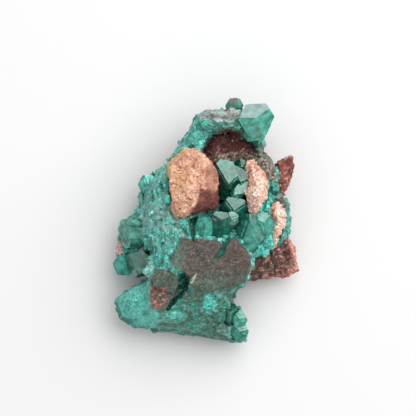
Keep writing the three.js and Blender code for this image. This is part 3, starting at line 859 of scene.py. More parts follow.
@dataclass(frozen=True)
class Crystal:
    """A dioptase crystal: sloping faces at its tip, six upright sides and a pointed root, in millimetres."""

    tip: tuple[float, float, float]
    caps: tuple[tuple[float, float], ...]  # compass direction and slope from level of each face at the tip
    spin: float  # compass direction of the first side
    reach: tuple[float, ...]  # from the tip to each side, going round
    depth: float  # from the tip down to the root
    milk: float = 0.0  # how far fine cracks cloud it
    frost_and_sheen: float = 1.0  # how far etching dulls its level faces and painted reflection pales them

    def planes(self, grow: float) -> Planes:
        """Lays out its faces.

        Args:
            grow: how far every face is moved out.

        Returns:
            Their unit normals and distances from the tip.
        """
        sides = [facing(self.spin + 60 * n, 90) for n in range(6)]
        found = [(facing(*cap), grow) for cap in self.caps]
        found += [(side, distance + grow) for side, distance in zip(sides, self.reach)]
        middle = sum((side * distance / 3 for side, distance in zip(sides, self.reach)), Vector())
        root = middle - Vector((0, 0, self.depth))
        for n in range(3):
            normal = facing(self.spin + 30 + 120 * n, 180 - ROOT_SLOPE)
            found.append((normal, normal.dot(root) + grow))
        return found

    def members(self, terraces: int, grow: float, seed: int) -> list[Planes]:
        """The crystal and the thin plates grown on its faces, with edges that run like its own.

        Args:
            terraces: how many plates.
            grow: how far every face is moved out.
            seed: which set of plates.

        Returns:
            The planes of each, the crystal's own first.
        """
        own = self.planes(grow)
        found = [own]
        faces = len(self.caps) + len(self.reach)
        girth = sum(self.reach) / len(self.reach)
        for n in range(terraces):
            layer = n // faces + 1
            rise = (PLATE_STEP + PLATE_STEP_PER_LAYER * layer) * (1.3 + chance(60, n, seed, 1))
            plate = []
            for face, (normal, distance) in enumerate(own):
                luck = 0.5 + 0.5 * chance(61, n, seed, face)
                pull = girth * (PLATE_INSET + PLATE_INSET_SPREAD * luck) * (0.7 + 0.3 * layer)
                plate.append((normal, distance + rise if face == n % faces else distance - pull))
            found.append(plate)
        return found

    def mesh(self, planes: Planes) -> Union[Mesh, None]:
        """The solid inside planes laid out from the tip, or nothing where they leave no room."""
        corners = [corner + Vector(self.tip) for corner in corners_of(planes)]
        return hull(corners) if len(corners) >= 4 else None

    def outside(self, point: Vector, grow: float) -> float:
        """How far a point lies outside the crystal's faces, negative inside."""
        away = point - Vector(self.tip)
        return max(normal.dot(away) - distance for normal, distance in self.planes(grow))


@dataclass(frozen=True)
class FaceFinish:
    """How the faces of a dioptase crystal differ."""

    etching_and_sheen: str = "#74938c"  # a level face: pale, partly dulled by etching and partly painted reflection
    glass: str = "#0d8265"  # a clear face
    milky: str = "#62c2b2"  # a face clouded by countless fine cracks
    edge_highlight: str = "#8ed6c8"  # an edge: a thin pale line, painted highlight
    level: tuple[float, float] = (0.78, 0.93)  # how far up a face looks where the etching and painted reflection start and are full
    steep: tuple[float, float] = (0.2, 0.6)  # the same for the shade on steep faces
    shade: float = 0.35  # how much darker a steep face is
    clear: float = 0.66  # how much less light a level face lets through, for its etching
    etching_stops: float = 0.45  # how much less an etched one lets through
    cloud_stops: float = 0.8  # the share that a milky one stops
    edge_paleness: float = 0.6
    edge_clearness: float = 0.5  # the share of a face's clearness that its edge keeps

    def of_face(
        self, up: float, milk: float, frost_and_sheen: float, luck: float, edge: bool
    ) -> tuple[np.ndarray, float]:
        """The tint and the clearness of one face.

        Args:
            up: how far up the face looks, from -1 to 1.
            milk: how far fine cracks cloud its crystal.
            frost_and_sheen: how far its crystal's level faces are dulled by etching and paled as painted
                reflection.
            luck: the face's own random value.
            edge: whether it is a bevelled edge, painted pale as a highlight.

        Returns:
            The tint in linear light, and the share of light that it lets through.
        """
        colours = (self.glass, self.milky, self.etching_and_sheen, self.edge_highlight)
        glass, milky, etching_and_sheen, edge_highlight = (np.array(linear(colour)) for colour in colours)
        # Level faces are paled, partly for etching and partly as painted reflection; steep faces are darkened
        # as painted shade.
        level = float(ramp(up, *self.level)) * (0.75 + 0.25 * luck) * frost_and_sheen
        cloud = milk * (0.8 + 0.2 * luck)
        tint = glass + cloud * (milky - glass)
        tint = tint + level * (etching_and_sheen - tint)
        tint = tint * (1 - self.shade * float(1 - ramp(up, *self.steep)))
        through = (1 - self.cloud_stops * cloud) * (self.clear - self.etching_stops * level)
        # Painted highlight: a pale line along each bevelled edge.
        if edge:
            tint = tint + self.edge_paleness * (edge_highlight - tint)
            through *= self.edge_clearness
        return tint, through


@dataclass
class CrystalGroup:
    """Crystals grown together: one closed mesh of glassy dioptase."""

    node: str
    finish: FaceFinish
    crystals: Sequence[Crystal]
    terraces: int = 8  # thin plates grown on each crystal's faces
    grow: float = 0.18  # the faces stand this far out, to meet the crust
    bevel: float = 0.05  # width of the bevelled edges
    edge_angle: float = 25.0  # degrees between two faces from which their edge is bevelled

    def build(self, material: Material) -> None:
        """Builds the group.

        Args:
            material: the crystal's material.
        """
        piece = self.joined(
            crystal.mesh(planes)
            for n, crystal in enumerate(self.crystals)
            for planes in crystal.members(self.terraces, self.grow, n + len(self.node))
        )
        shell = bmesh.new()
        shell.from_mesh(piece.data)
        bmesh.ops.dissolve_degenerate(shell, dist=5e-4 * MM, edges=shell.edges)
        shell.to_mesh(piece.data)
        shell.free()
        self.colour(piece.data)
        dress(piece, material)
        hand_over(piece, "dioptase", self.node)

    def joined(self, meshes: Iterable[Union[Mesh, None]]) -> Object:
        """Unites the crystals and their plates, and bevels their edges.

        Args:
            meshes: the mesh of each, or nothing where a plate has no room.

        Returns:
            The group as one object.
        """
        first, *rest = (bpy.data.objects.new("member", mesh) for mesh in meshes if mesh)
        others = bpy.data.collections.new("members")
        for other in rest:
            others.objects.link(other)
        bpy.context.scene.collection.children.link(others)
        first.name = self.node + "_grown"
        bpy.context.scene.collection.objects.link(first)
        join = first.modifiers.new("join", "BOOLEAN")
        join.operation = "UNION"
        join.operand_type = "COLLECTION"
        join.collection = others
        join.solver = "EXACT"
        edge = first.modifiers.new("edges", "BEVEL")
        edge.width = self.bevel * MM
        edge.limit_method = "ANGLE"
        edge.angle_limit = math.radians(self.edge_angle)
        edge.segments = 1
        piece = settled(first)
        for other in rest:
            bpy.data.objects.remove(other)
        bpy.data.collections.remove(others)
        return piece

    def colour(self, mesh: Mesh) -> None:
        """Gives each face its tint and clearness: paler where it lies level, partly etching and partly
        painted reflection; darker where it is steep, as painted shade; pale along bevelled edges, as painted
        highlight; milky where its crystal is.

        Args:
            mesh: the group's mesh.
        """
        tints = []
        clear = []
        for face in mesh.polygons:
            middle = face.center / MM
            owner = min(self.crystals, key=lambda crystal: crystal.outside(middle, self.grow))
            luck = chance(83, *(round(20 * v) for v in face.normal))
            longest = max((mesh.vertices[a].co - mesh.vertices[b].co).length for a, b in face.edge_keys)
            edge = face.area < 1.6 * self.bevel * MM * longest
            tint, through = self.finish.of_face(face.normal.z, owner.milk, owner.frost_and_sheen, luck, edge)
            tints.append(tint)
            clear.append(through)
        store(mesh, PAINT, tints, "FACE")
        store(mesh, CLEARNESS, clear, "FACE")


# ---- The specimen's pieces ---------------------------------------------------------------------------


@dataclass
class Druse:
    """Small crystals or grains strewn over a painted share of a surface."""

    name: str
    slot: str
    count: int
    smallest: float
    largest: float
    seed: int
    rise: float  # height over the ground of one crystal, in its own radii
    rarity: float = 2.2  # how much rarer large ones are than small ones

    def seedling(self) -> Object:
        """One small crystal, a millimetre in radius, standing on its end.

        Returns:
            The object that is strewn.
        """
        crystal = Crystal((0, 0, self.rise), ((30, 51), (150, 51), (270, 51)), 0, (1, 1, 1, 1, 1, 1), 2.4)
        return bpy.data.objects.new(self.name + "_one", crystal.mesh(crystal.planes(0.0)))

    def strew(self, ground: Surface, share: np.ndarray, material: Material) -> None:
        """Strews the crystals over the ground.

        Args:
            ground: the surface that they grow on.
            share: how thickly they grow at each of its points.
            material: their material.
        """
        seedling = self.seedling()
        carrier = bpy.data.objects.new(self.name, ground.object.data.copy())
        bpy.context.scene.collection.objects.link(carrier)
        store(carrier.data, "thick", share, "POINT")
        tree = self.tree(seedling, material)
        strewn = carrier.modifiers.new("strew", "NODES")
        strewn.node_group = tree
        values = {
            "Density": self.count / self.area(carrier.data, share),
            "Smallest": self.smallest,
            "Largest": self.largest,
            "Seed": self.seed,
        }
        for item in tree.interface.items_tree:
            if item.name in values:
                strewn[item.identifier] = values[item.name]
        piece = settled(carrier)
        bpy.data.objects.remove(seedling)
        hand_over(piece, self.slot)

    @staticmethod
    def area(mesh: Mesh, share: np.ndarray) -> float:
        """Adds up the area that a share of a mesh covers.

        Args:
            mesh: the mesh.
            share: the share at each of its points.

        Returns:
            Square metres.
        """
        areas = np.zeros(len(mesh.polygons))
        mesh.polygons.foreach_get("area", areas)
        starts = np.zeros(len(mesh.polygons), np.int32)
        mesh.polygons.foreach_get("loop_start", starts)
        corners = np.zeros(len(mesh.loops), np.int32)
        mesh.loops.foreach_get("vertex_index", corners)
        return float(np.sum(areas * share[corners[starts]]))

    def tree(self, seedling: Object, material: Material) -> NodeTree:
        """The node tree that strews copies of the seedling.

        Args:
            seedling: the object that is strewn.
            material: the material of the copies.

        Returns:
            The node tree.
        """
        tree = bpy.data.node_groups.new(self.name + "_strewer", "GeometryNodeTree")
        for name, side, kind in (
            ("Ground", "INPUT", "Geometry"),
            ("Density", "INPUT", "Float"),
            ("Smallest", "INPUT", "Float"),
            ("Largest", "INPUT", "Float"),
            ("Seed", "INPUT", "Int"),
            ("Crystals", "OUTPUT", "Geometry"),
        ):
            tree.interface.new_socket(name, in_out=side, socket_type="NodeSocket" + kind)
        node = partial(add, tree)
        given = node("NodeGroupInput").outputs
        seed = given["Seed"]
        thick = node("GeometryNodeInputNamedAttribute", {"Name": "thick"}, data_type="FLOAT")
        share = thick.outputs["Attribute"]
        density = node("ShaderNodeMath", {0: given["Density"], 1: share}, operation="MULTIPLY")
        ground = {"Mesh": given["Ground"], "Density": density, "Seed": seed}
        points = node("GeometryNodeDistributePointsOnFaces", ground)
        luck = node("FunctionNodeRandomValue", {"Min": 0.0, "Max": 1.0, "Seed": seed}, data_type="FLOAT")
        uneven = node("ShaderNodeMath", {0: luck.outputs[1], 1: self.rarity}, operation="POWER")
        sizes = {"Value": uneven, "To Min": given["Smallest"], "To Max": given["Largest"]}
        turns = {0: (-0.7, -0.7, 0.0), 1: (0.7, 0.7, 6.28), "Seed": seed}  # radians, tilted a little and spun
        spin = node("FunctionNodeRandomValue", turns, data_type="FLOAT_VECTOR")
        turned = {"Rotation": points.outputs["Rotation"], "Rotate By": spin}
        copies = {
            "Points": points,
            "Instance": node("GeometryNodeObjectInfo", {"Object": seedling}).outputs["Geometry"],
            "Rotation": node("FunctionNodeRotateRotation", turned, rotation_space="LOCAL"),
            "Scale": node("ShaderNodeMapRange", sizes),
        }
        lots = {"Min": 0.0, "Max": 1.0, "Seed": SHADE_SEED}
        marks = {
            "Geometry": node("GeometryNodeInstanceOnPoints", copies),
            "Name": SHADE,
            "Value": node("FunctionNodeRandomValue", lots, data_type="FLOAT").outputs[1],
        }
        marked = node("GeometryNodeStoreNamedAttribute", marks, data_type="FLOAT", domain="INSTANCE")
        real = node("GeometryNodeRealizeInstances", {"Geometry": marked})
        dressed = node("GeometryNodeSetMaterial", {"Geometry": real, "Material": material})
        node("NodeGroupOutput", {"Crystals": dressed})
        return tree


def grainy_shoulder(skin: Surface, shoulder: Patch, seed: int) -> None:
    """Paints the shoulder of mixed grains, where crust and host rock meet.

    Args:
        skin: the surface.
        shoulder: where the grains are.
        seed: which grains.
    """
    skin.paint(Tone.GRAINY, shoulder)
    skin.speckle(Tone.MAROON, 0.5, 0.66, seed + 86, shoulder)
    skin.speckle(Tone.TEAL_GREY, 0.42, 0.8, seed + 88, shoulder)
    skin.speckle(Tone.PALE_TAN, 0.42, 0.86, seed + 76, shoulder)


@dataclass
class Crust:
    """The turquoise to green crystalline crust with its grey-brown plates, and the druse on it."""

    fineness: float = 0.25
    plate: Patch = Patch(
        (
            (-5.8, -5.6), (-4.4, -5.9), (-3.3, -6.6), (-2, -5.9), (1.4, -6), (3.2, -6.9), (2.5, -9.4),
            (3.3, -8.6), (4, -6.2), (5.2, -5.6), (7.1, -7.6), (8.5, -9.7), (8.6, -11.6), (7.6, -14.5),
            (4.6, -16.2), (0, -16.6), (-3.4, -16), (-4.4, -13), (-7.6, -11.2), (-7.4, -9.4), (-6.2, -7.6),
        ), 0.2, 0.35, 9.0,
    )
    low_plate: Patch = Patch(
        (
            (-10.7, -12.2), (-8.6, -12), (-5.9, -13.2), (-5.6, -16.2), (-8, -19.8), (-9.6, -21),
            (-11.3, -19.8), (-12, -17.8), (-11.4, -14.6),
        ), 0.2, 0.3, 7.0,
    )
    pit: Patch = Patch(
        ((-5.9, -12.9), (-4.7, -13), (-4, -14.6), (-4.5, -16.4), (-5.3, -16.2), (-5.9, -14.6)), 0.25, 0.2, 8.0
    )
    crack: Trace = Trace(((-4.6, -16), (-5.6, -17.6), (-7.2, -18.8), (-8, -20.2)), 0.4, 0.3, 0.25)
    plate_crack: Trace = Trace(((4, -6.1), (3.2, -7.6), (2.9, -8.8), (2, -9.5)), 0.5, 0.25, 0.2)
    notch: Patch = Patch(
        ((-3.6, -2.2), (-2.1, -1.8), (-2.5, -5), (-3.1, -6.8), (-3.6, -4.6)), 0.25, 0.2, 9.0
    )
    vein: Trace = Trace(((-2.3, -13), (-3.1, -14.3), (-3.8, -15.3)), 0.14, 0.14, 0.2)
    bottom: Patch = Patch(
        (
            (-9.6, -20.6), (-6, -16.8), (-1, -15.8), (6, -16), (5, -20), (4.6, -27.4), (-3, -27),
            (-11, -24.4),
        ), 0.6, 0.8,
    )
    lobe: Patch = Patch(
        (
            (-19.4, -18), (-14, -15.2), (-11.6, -14), (-11.6, -20), (-9.6, -22.6), (-11, -24.6),
            (-17, -23.6),
        ), 0.4, 0.4,
    )
    crown_ledge: Patch = Patch(
        (
            (-1.9, 17.5), (-1.4, 18.6), (-1, 20.4), (6.4, 20.6), (7.2, 18.4), (5.6, 17.5), (2, 17.3),
            (0, 17.5),
        ), 0.25, 0.25, 15.0,
    )
    crown_front: Patch = Patch(
        ((0.2, 17.4), (5.8, 17.6), (7.8, 15.8), (7.6, 13), (4, 15.4), (1.2, 14.8)), 0.3, 0.3
    )
    recess: Patch = Patch(
        (
            (-1.6, 9), (-1.4, 11.8), (1, 14.6), (4.4, 15.8), (7.4, 14.6), (10, 12.2), (9, 10.8), (2, 9.4)
        ), 0.3, 0.4,
    )
    skin: Surface = field(init=False)

    def build(self, stone: Material, druse: Material) -> None:
        """Sculpts, paints and grows the crust.

        Args:
            stone: the massive crust's material.
            druse: the small crystals' material.
        """
        skin = self.skin = Surface("dioptase_crust", "crust_skin", self.fineness)
        skin.swell(0.08)
        self.sculpt()
        self.colour()
        skin.finish(stone, "crust")
        smooth = np.maximum(self.plates(), skin.share(self.crown_ledge))
        smooth = np.maximum(smooth, 0.9 * skin.share(self.lobe))
        smooth = np.maximum(smooth, 0.9 * skin.share(self.crown_front))
        bare = (1 - 0.97 * smooth) * skin.along(UP, 3.0, 5.0) * ramp(skin.normals[:, UP], 0.6, 0.88)
        patchy = bare * skin.blotch(2.0, 881, 0.1, 0.6) * (1 - 0.7 * skin.share(self.bottom))
        Druse("crust_crystals", "crust", 160, 0.3, 0.6, 6, 0.4).strew(skin, patchy, druse)
        Druse("crust_druse", "crust", 1500, 0.07, 0.18, 4, 0.9).strew(skin, bare, druse)

    def plates(self) -> np.ndarray:
        """The share of smooth, coated plate at each point of the crust."""
        return np.maximum(self.skin.share(self.plate), self.skin.share(self.low_plate))

    def sculpt(self) -> None:
        """Gives the crust its relief."""
        skin = self.skin
        rough = (1 - 0.85 * self.plates()) * (1 - 0.5 * skin.share(self.bottom))
        rough *= 1 - 0.6 * np.maximum(skin.share(self.crown_ledge), skin.share(self.lobe))
        skin.swell(0.14 * ripple(skin.points, 3.2, 21) * rough)
        skin.chip(2.6, 0.26, 0.12, 33, rough)
        skin.chip(1.4, 0.28, 0.06, 53, rough)
        skin.chip(0.8, 0.2, 0.03, 63, 0.3 + 0.7 * rough)
        skin.lift(self.plate, 0.35)
        skin.lift(self.low_plate, 0.3)
        skin.lift(self.pit, -1.1)
        skin.lift(self.crack, -1.1)
        skin.lift(self.plate_crack, -0.9)
        skin.lift(self.notch, -1.5)

    def colour(self) -> None:
        """Paints the crust: its own greens first, then each place, then painted shade in its hollows, painted
        highlight on its ridges, and a darker deep green towards the bottom.
        """
        skin = self.skin
        hollows = skin.hollows(6)
        skin.paint(Tone.TURQUOISE)
        skin.paint(Tone.TEAL_GREY, skin.blotch(2.2, 403, 0.0, 0.5, 1.6), 0.8)
        skin.paint(Tone.GREEN, skin.blotch(2.4, 402, 0.1, 0.5, 1.6), 0.85)
        skin.paint(Tone.DEEP, skin.blotch(1.5, 404, 0.45, 0.75, 1.8), 0.85)
        skin.paint(Tone.BRIGHT, skin.blotch(1.2, 401, 0.3, 0.6, 2.0), 0.85)
        skin.speckle(Tone.GREEN, 0.8, 0.66, 83, drawn=2.0)
        skin.speckle(Tone.BRIGHT, 0.8, 0.76, 84, drawn=1.8)
        skin.speckle(Tone.DEEP, 0.8, 0.82, 75, drawn=2.4)
        # Painted highlight: scattered bright turquoise glints.
        skin.speckle(Tone.SPARK, 0.8, 0.84, 74, drawn=2.6)
        self.crown()
        self.right_side()
        self.left_side()
        self.bottom_and_plates()
        self.lobe_and_hollows()
        # Painted shade: hollows darkened to deep green. Painted highlight: ridges lightened to bright
        # turquoise. Then the crust darkens to deep green towards the bottom.
        skin.paint(Tone.DEEP, ramp(hollows, 0.08, 0.35), 0.5)
        skin.paint(Tone.BRIGHT, ramp(-hollows, 0.1, 0.35) * (1 - self.plates()), 0.35)
        skin.paint(Tone.DEEP, 1 - skin.along(UP, 3.0, 6.5), 0.45)

    def crown(self) -> None:
        """Paints the ledge, the band under it and the shoulder beside it."""
        skin = self.skin
        beside = Patch(((-4, 11.6), (-3.8, 15.4), (-1.8, 18), (0.2, 17), (-0.8, 13)), 0.5, 0.6)
        skin.paint(Tone.GREEN, beside, 0.2)
        skin.paint(Tone.LEDGE, self.crown_ledge)
        lines = ramp(ripple(skin.points / (4.0, 0.5, 1.0), 1.0, 419), -0.1, 0.3)
        skin.paint(Tone.COAT, skin.share(self.crown_ledge) * lines, 0.6)
        skin.paint(Tone.LEDGE_FRONT, self.crown_front)
        skin.paint(Tone.LIP, Trace(((1.2, 17.4), (3.2, 17.1), (5.2, 17.2)), 0.3, 0.15, 0.2, 14.0), 0.8)
        skin.paint(Tone.BLUSH, Trace(((3.2, 19.3), (4.4, 19.1), (5, 18.6)), 0.2, 0.3, 0.3, 14.0), 0.35)
        skin.paint(Tone.MAROON, self.recess)
        dusty = Patch(
            ((6.6, 12.4), (9, 13.2), (12.4, 12.2), (12.6, 9.6), (13.2, 8.6), (10, 8), (6.6, 9.6)), 0.3, 0.5
        )
        skin.paint(Tone.GRAINY, dusty)
        skin.paint(Tone.GREEN, skin.share(dusty) * skin.blotch(1.2, 414, 0.2, 0.5), 0.8)
        skin.paint(Tone.BROWN, Patch(((7.4, 11.9), (10.2, 11.9), (10, 10), (7.6, 10)), 0.3, 0.3))

    def right_side(self) -> None:
        """Paints the shoulder of grains, the outer rim and the ground round the bank."""
        skin = self.skin
        shoulder = (
            (1.6, 10.9), (6, 11.2), (10.8, 10.8), (13.8, 8.4), (13.8, 5), (11.6, 5.6), (9.6, 8.6), (2, 8.2)
        )
        grainy_shoulder(skin, Patch(shoulder, 0.4, 0.5), 0)
        skin.paint(Tone.GREEN, Patch(((11.6, 5), (14, 5.4), (15.4, 2), (13, 0.6)), 0.5, 0.6), 0.8)
        knot = Patch(((13.2, 2.6), (15.8, 2.4), (15.8, 0), (13.4, 0.2)), 0.2, 0.4)
        rim = Patch(((13.4, 3), (17.6, 1), (17.2, -6.4), (14.4, -8), (14.8, -2)), 0.3, 0.6)
        skin.paint(Tone.GREEN, rim, 0.7)
        skin.speckle(Tone.BROWN, 0.6, 0.75, 85, rim)
        skin.paint(Tone.TURQUOISE, skin.share(rim) * skin.blotch(1.4, 418, 0.2, 0.5), 0.7)
        skin.paint(Tone.MAROON, knot, 0.8)
        skin.speckle(Tone.PALE_TAN, 0.4, 0.8, 87, knot)
        slope = Patch(
            ((-13.4, -3), (-10.6, 2), (-8.6, 3), (-7, -1.6), (-5.6, -3.4), (-8, -5)), 0.6, 0.8
        )
        skin.paint(Tone.TEAL_GREY, slope, 0.6)
        skin.paint(Tone.BRIGHT, Patch(((-1.6, -2.8), (1, -2.8), (1.4, -5.8), (-1.4, -5.6)), 0.3, 0.4), 0.8)
        bank_foot = Patch(((9.6, -6), (12.4, -5), (13.4, -7.6), (10, -10.4), (8.8, -10)), 0.3, 0.4)
        skin.paint(Tone.BRIGHT, bank_foot, 0.6)

    def left_side(self) -> None:
        """Paints the slope left of the block and the ground between the crystals."""
        skin = self.skin
        slope = Patch(((-12, 6), (-9, 9), (-7.6, 0), (-5, -4), (-8, -9), (-12, -6)), 0.6, 1.0)
        skin.paint(Tone.LIP, slope, 0.12)
        skin.speckle(Tone.GREEN, 0.6, 0.74, 91, slope)
        skin.speckle(Tone.BRIGHT, 0.7, 0.76, 89, slope, 2.2)
        # Painted highlight: glints on the slope.
        skin.speckle(Tone.SPARK, 0.6, 0.88, 90, slope, 2.0)
        skin.paint(Tone.GREEN, Patch(((-18.4, -1.6), (-14, -1), (-13, -7), (-18, -7)), 0.4, 0.5), 0.7)
        skin.paint(Tone.PINK, Patch(((-19, -6.2), (-17.2, -6.4), (-17.2, -10), (-19, -10.2)), 0.3, 0.4), 0.9)
        gully = Patch(((-13, -9), (-11, -9), (-10.4, -14), (-12.4, -17), (-13.4, -14)), 0.3, 0.5)
        skin.paint(Tone.TEAL_GREY, gully, 0.6)
        skin.paint(Tone.DEEP, Patch(((1.6, 6.6), (7.6, 8.6), (8, 1), (2, 0.6)), 0.4, 0.3, 0.0, 16.5), 0.9)
        skin.paint(Tone.DEEP, self.notch, 0.9)

    def bottom_and_plates(self) -> None:
        """Paints the mottled lower mass and the coated plates above it."""
        skin = self.skin
        bottom = skin.share(self.bottom)
        plate = skin.share(self.plate)
        skin.paint(Tone.MOTTLED, bottom)
        skin.paint(Tone.BROWN, bottom * skin.blotch(1.4, 410, 0.1, 0.5), 0.45)
        skin.paint(Tone.TURQUOISE, bottom * skin.blotch(2.2, 417, -0.2, 0.4), 0.6)
        skin.paint(Tone.GREEN, bottom * skin.blotch(1.2, 411, 0.0, 0.4), 0.85)
        skin.paint(Tone.BRIGHT, bottom * skin.blotch(0.9, 416, 0.4, 0.65), 0.4)
        skin.speckle(Tone.DEEP, 0.6, 0.6, 80, bottom)
        skin.speckle(Tone.BROWN, 0.4, 0.84, 82, bottom)
        skin.paint(Tone.COAT, plate)
        skin.paint(Tone.BROWN, plate * skin.along(EAST, 1.0, 7.0), 0.7)
        skin.speckle(Tone.BROWN, 0.4, 0.55, 79, plate)
        fading = plate * skin.along(NORTH, -10.5, -16.0)
        skin.paint(Tone.MOTTLED, fading * skin.blotch(1.0, 412, -0.3, 0.3), 0.9)
        skin.paint(Tone.GREEN, plate * skin.along(EAST, -3.6, -6.4), 0.35)
        skin.paint(Tone.COAT_LOW, self.low_plate)
        patch = Patch(((-0.8, -17.6), (0.6, -17.2), (1.8, -19.4), (1, -21), (-1, -20)), 0.4, 0.6)
        skin.paint(Tone.BRIGHT, patch, 0.8)
        patch = Patch(((-8.6, -21), (-6, -20.4), (-3.8, -21.4), (-5, -22.6), (-8, -22.4)), 0.4, 0.6)
        skin.paint(Tone.BRIGHT, patch, 0.6)

    def lobe_and_hollows(self) -> None:
        """Paints the lobe, the pit, the cracks and the scattered grains."""
        skin = self.skin
        skin.paint(Tone.LOBE, self.lobe)
        skin.paint(Tone.BRIGHT, skin.share(self.lobe) * skin.blotch(1.6, 415, 0.2, 0.6, 1.6), 0.6)
        edge = Trace(((-19, -19.6), (-17.6, -22.6), (-14.6, -24.4), (-11, -25.2)), 1.2, 0.5, 0.8)
        skin.paint(Tone.DEEP, edge, 0.75)
        skin.paint(Tone.DEEP, self.pit, 0.4)
        skin.paint(Tone.GREEN, skin.share(self.pit) * skin.blotch(1.2, 420, -0.3, 0.2), 0.7)
        skin.paint(Tone.DEEP, self.crack)
        skin.paint(Tone.GREEN, self.plate_crack)
        skin.paint(Tone.VEIN, self.vein, 0.7)
        grains = Patch(
            ((-11.6, -15.6), (-10.2, -16), (-8, -15.6), (-7.4, -18), (-9.6, -20), (-11.6, -19.8)), 0.4, 0.5
        )
        skin.paint(Tone.MAROON, grains, 0.5)
        skin.speckle(Tone.RIM, 0.6, 0.3, 71, grains)
        skin.speckle(Tone.RUST, 0.55, 0.3, 77, skin.share(grains) * skin.along(EAST, -9.6, -10.6))
        skin.speckle(Tone.PINK, 0.34, 0.97, 72, self.plate)
        skin.speckle(Tone.FLAKE, 0.34, 0.88, 78, self.plate)


@dataclass
class HostRock:
    """The rust-brown rock under everything: recess floor, spur, flake, knob and broken underside."""

    fineness: float = 0.34
    spur: Patch = Patch(((13, 2), (13, 10), (18, 11), (18, 4)), 0.4)
    flake: Patch = Patch(((6, -4), (6, -16), (16, -15), (19, -12), (17, -5)), 0.3, 0.2)

    def build(self, stone: Material, grain: Material) -> None:
        """Sculpts, paints and strews the rock.

        Args:
            stone: the rock's material.
            grain: the loose-looking grains' material.
        """
        skin = Surface("host_rock", "host_rock_skin", self.fineness)
        skin.swell(0.12 * skin.along(UP, 0.2, 1.6))
        skin.swell(0.3 * ripple(skin.points, 2.6, 121) * skin.along(UP, 0.2, 1.6))
        skin.chip(1.4, 0.3, 0.16, 133, skin.along(UP, 0.2, 1.6))
        skin.chip(0.7, 0.35, 0.09, 153, skin.along(UP, 0.1, 0.8))
        skin.points[:, UP] = np.maximum(skin.points[:, UP], 0.0)
        skin.write()
        self.colour(skin)
        skin.finish(stone, "host_rock")
        grains = Druse("host_grains", "host_rock", 3000, 0.1, 0.26, 8, 0.6)
        grains.strew(skin, skin.along(UP, 2.0, 5.0), grain)

    def colour(self, skin: Surface) -> None:
        """Paints the rock.

        Args:
            skin: its surface.
        """
        skin.paint(Tone.RUST)
        skin.paint(Tone.UNDER, 1 - skin.along(UP, 0.4, 3.0))
        recess = Patch(
            ((-3, 8), (-2.4, 13), (1, 16), (5, 17), (10, 15), (12.4, 10), (11, 7.6), (5, 9)), 0.4, 0.4, 8.0
        )
        skin.paint(Tone.MAROON, recess)
        shoulder = ((1, 10.6), (4, 11), (10, 10.8), (13.4, 7.4), (12, 4), (8, 5), (5, 8), (2, 8.6))
        grainy_shoulder(skin, Patch(shoulder, 0.4, 0.6, 8.0), 100)
        skin.paint(Tone.FLAKE, self.flake)
        skin.paint(Tone.MAROON, skin.share(self.flake) * skin.blotch(1.8, 181, 0.0, 0.4), 0.8)
        skin.paint(Tone.MAROON, skin.share(self.spur) * skin.blotch(1.6, 182, 0.1, 0.4), 0.7)
        edge = Trace(((16.6, -5.6), (17.6, -8.4), (18.4, -12), (15.6, -14), (12, -14.6)), 0.9, 0.5, 0.5)
        skin.paint(Tone.RIM, edge)
        skin.speckle(Tone.PINK, 0.8, 0.72, 171, self.spur)
        skin.speckle(Tone.RIM, 0.8, 0.72, 172, self.flake)
        skin.speckle(Tone.PINK, 0.36, 0.86, 173, recess)
        skin.paint(Tone.TURQUOISE, Patch(((-19, -4), (-12, -4), (-12, -15), (-19, -15)), 0.3, 0.3))
        knob = Patch(((-17.2, -8.8), (-15.4, -8.8), (-15.4, -10.8), (-17.2, -10.6)), 0.3, 0.4)
        skin.paint(Tone.BRIGHT, knob)
        skin.paint(Tone.PINK, Patch(((-19, -6.2), (-16.8, -6.4), (-17, -10), (-19, -10.2)), 0.3, 0.4))
        skin.paint(Tone.DEEP, Patch(((1.4, 7), (7.8, 9), (8.4, 0.6), (2, 0.2)), 0.4, 0.3, 6.0, 20.0))
        skin.paint(Tone.DEEP, Patch(((3.4, -15.4), (5.6, -15.4), (8, -17), (8, -20), (3.4, -20)), 0.3, 0.3))
        skin.paint(Tone.DEEP, Patch(((-6.6, -12), (-3.4, -12), (-3.6, -17), (-6.4, -17)), 0.4, 0.3, 4.0))


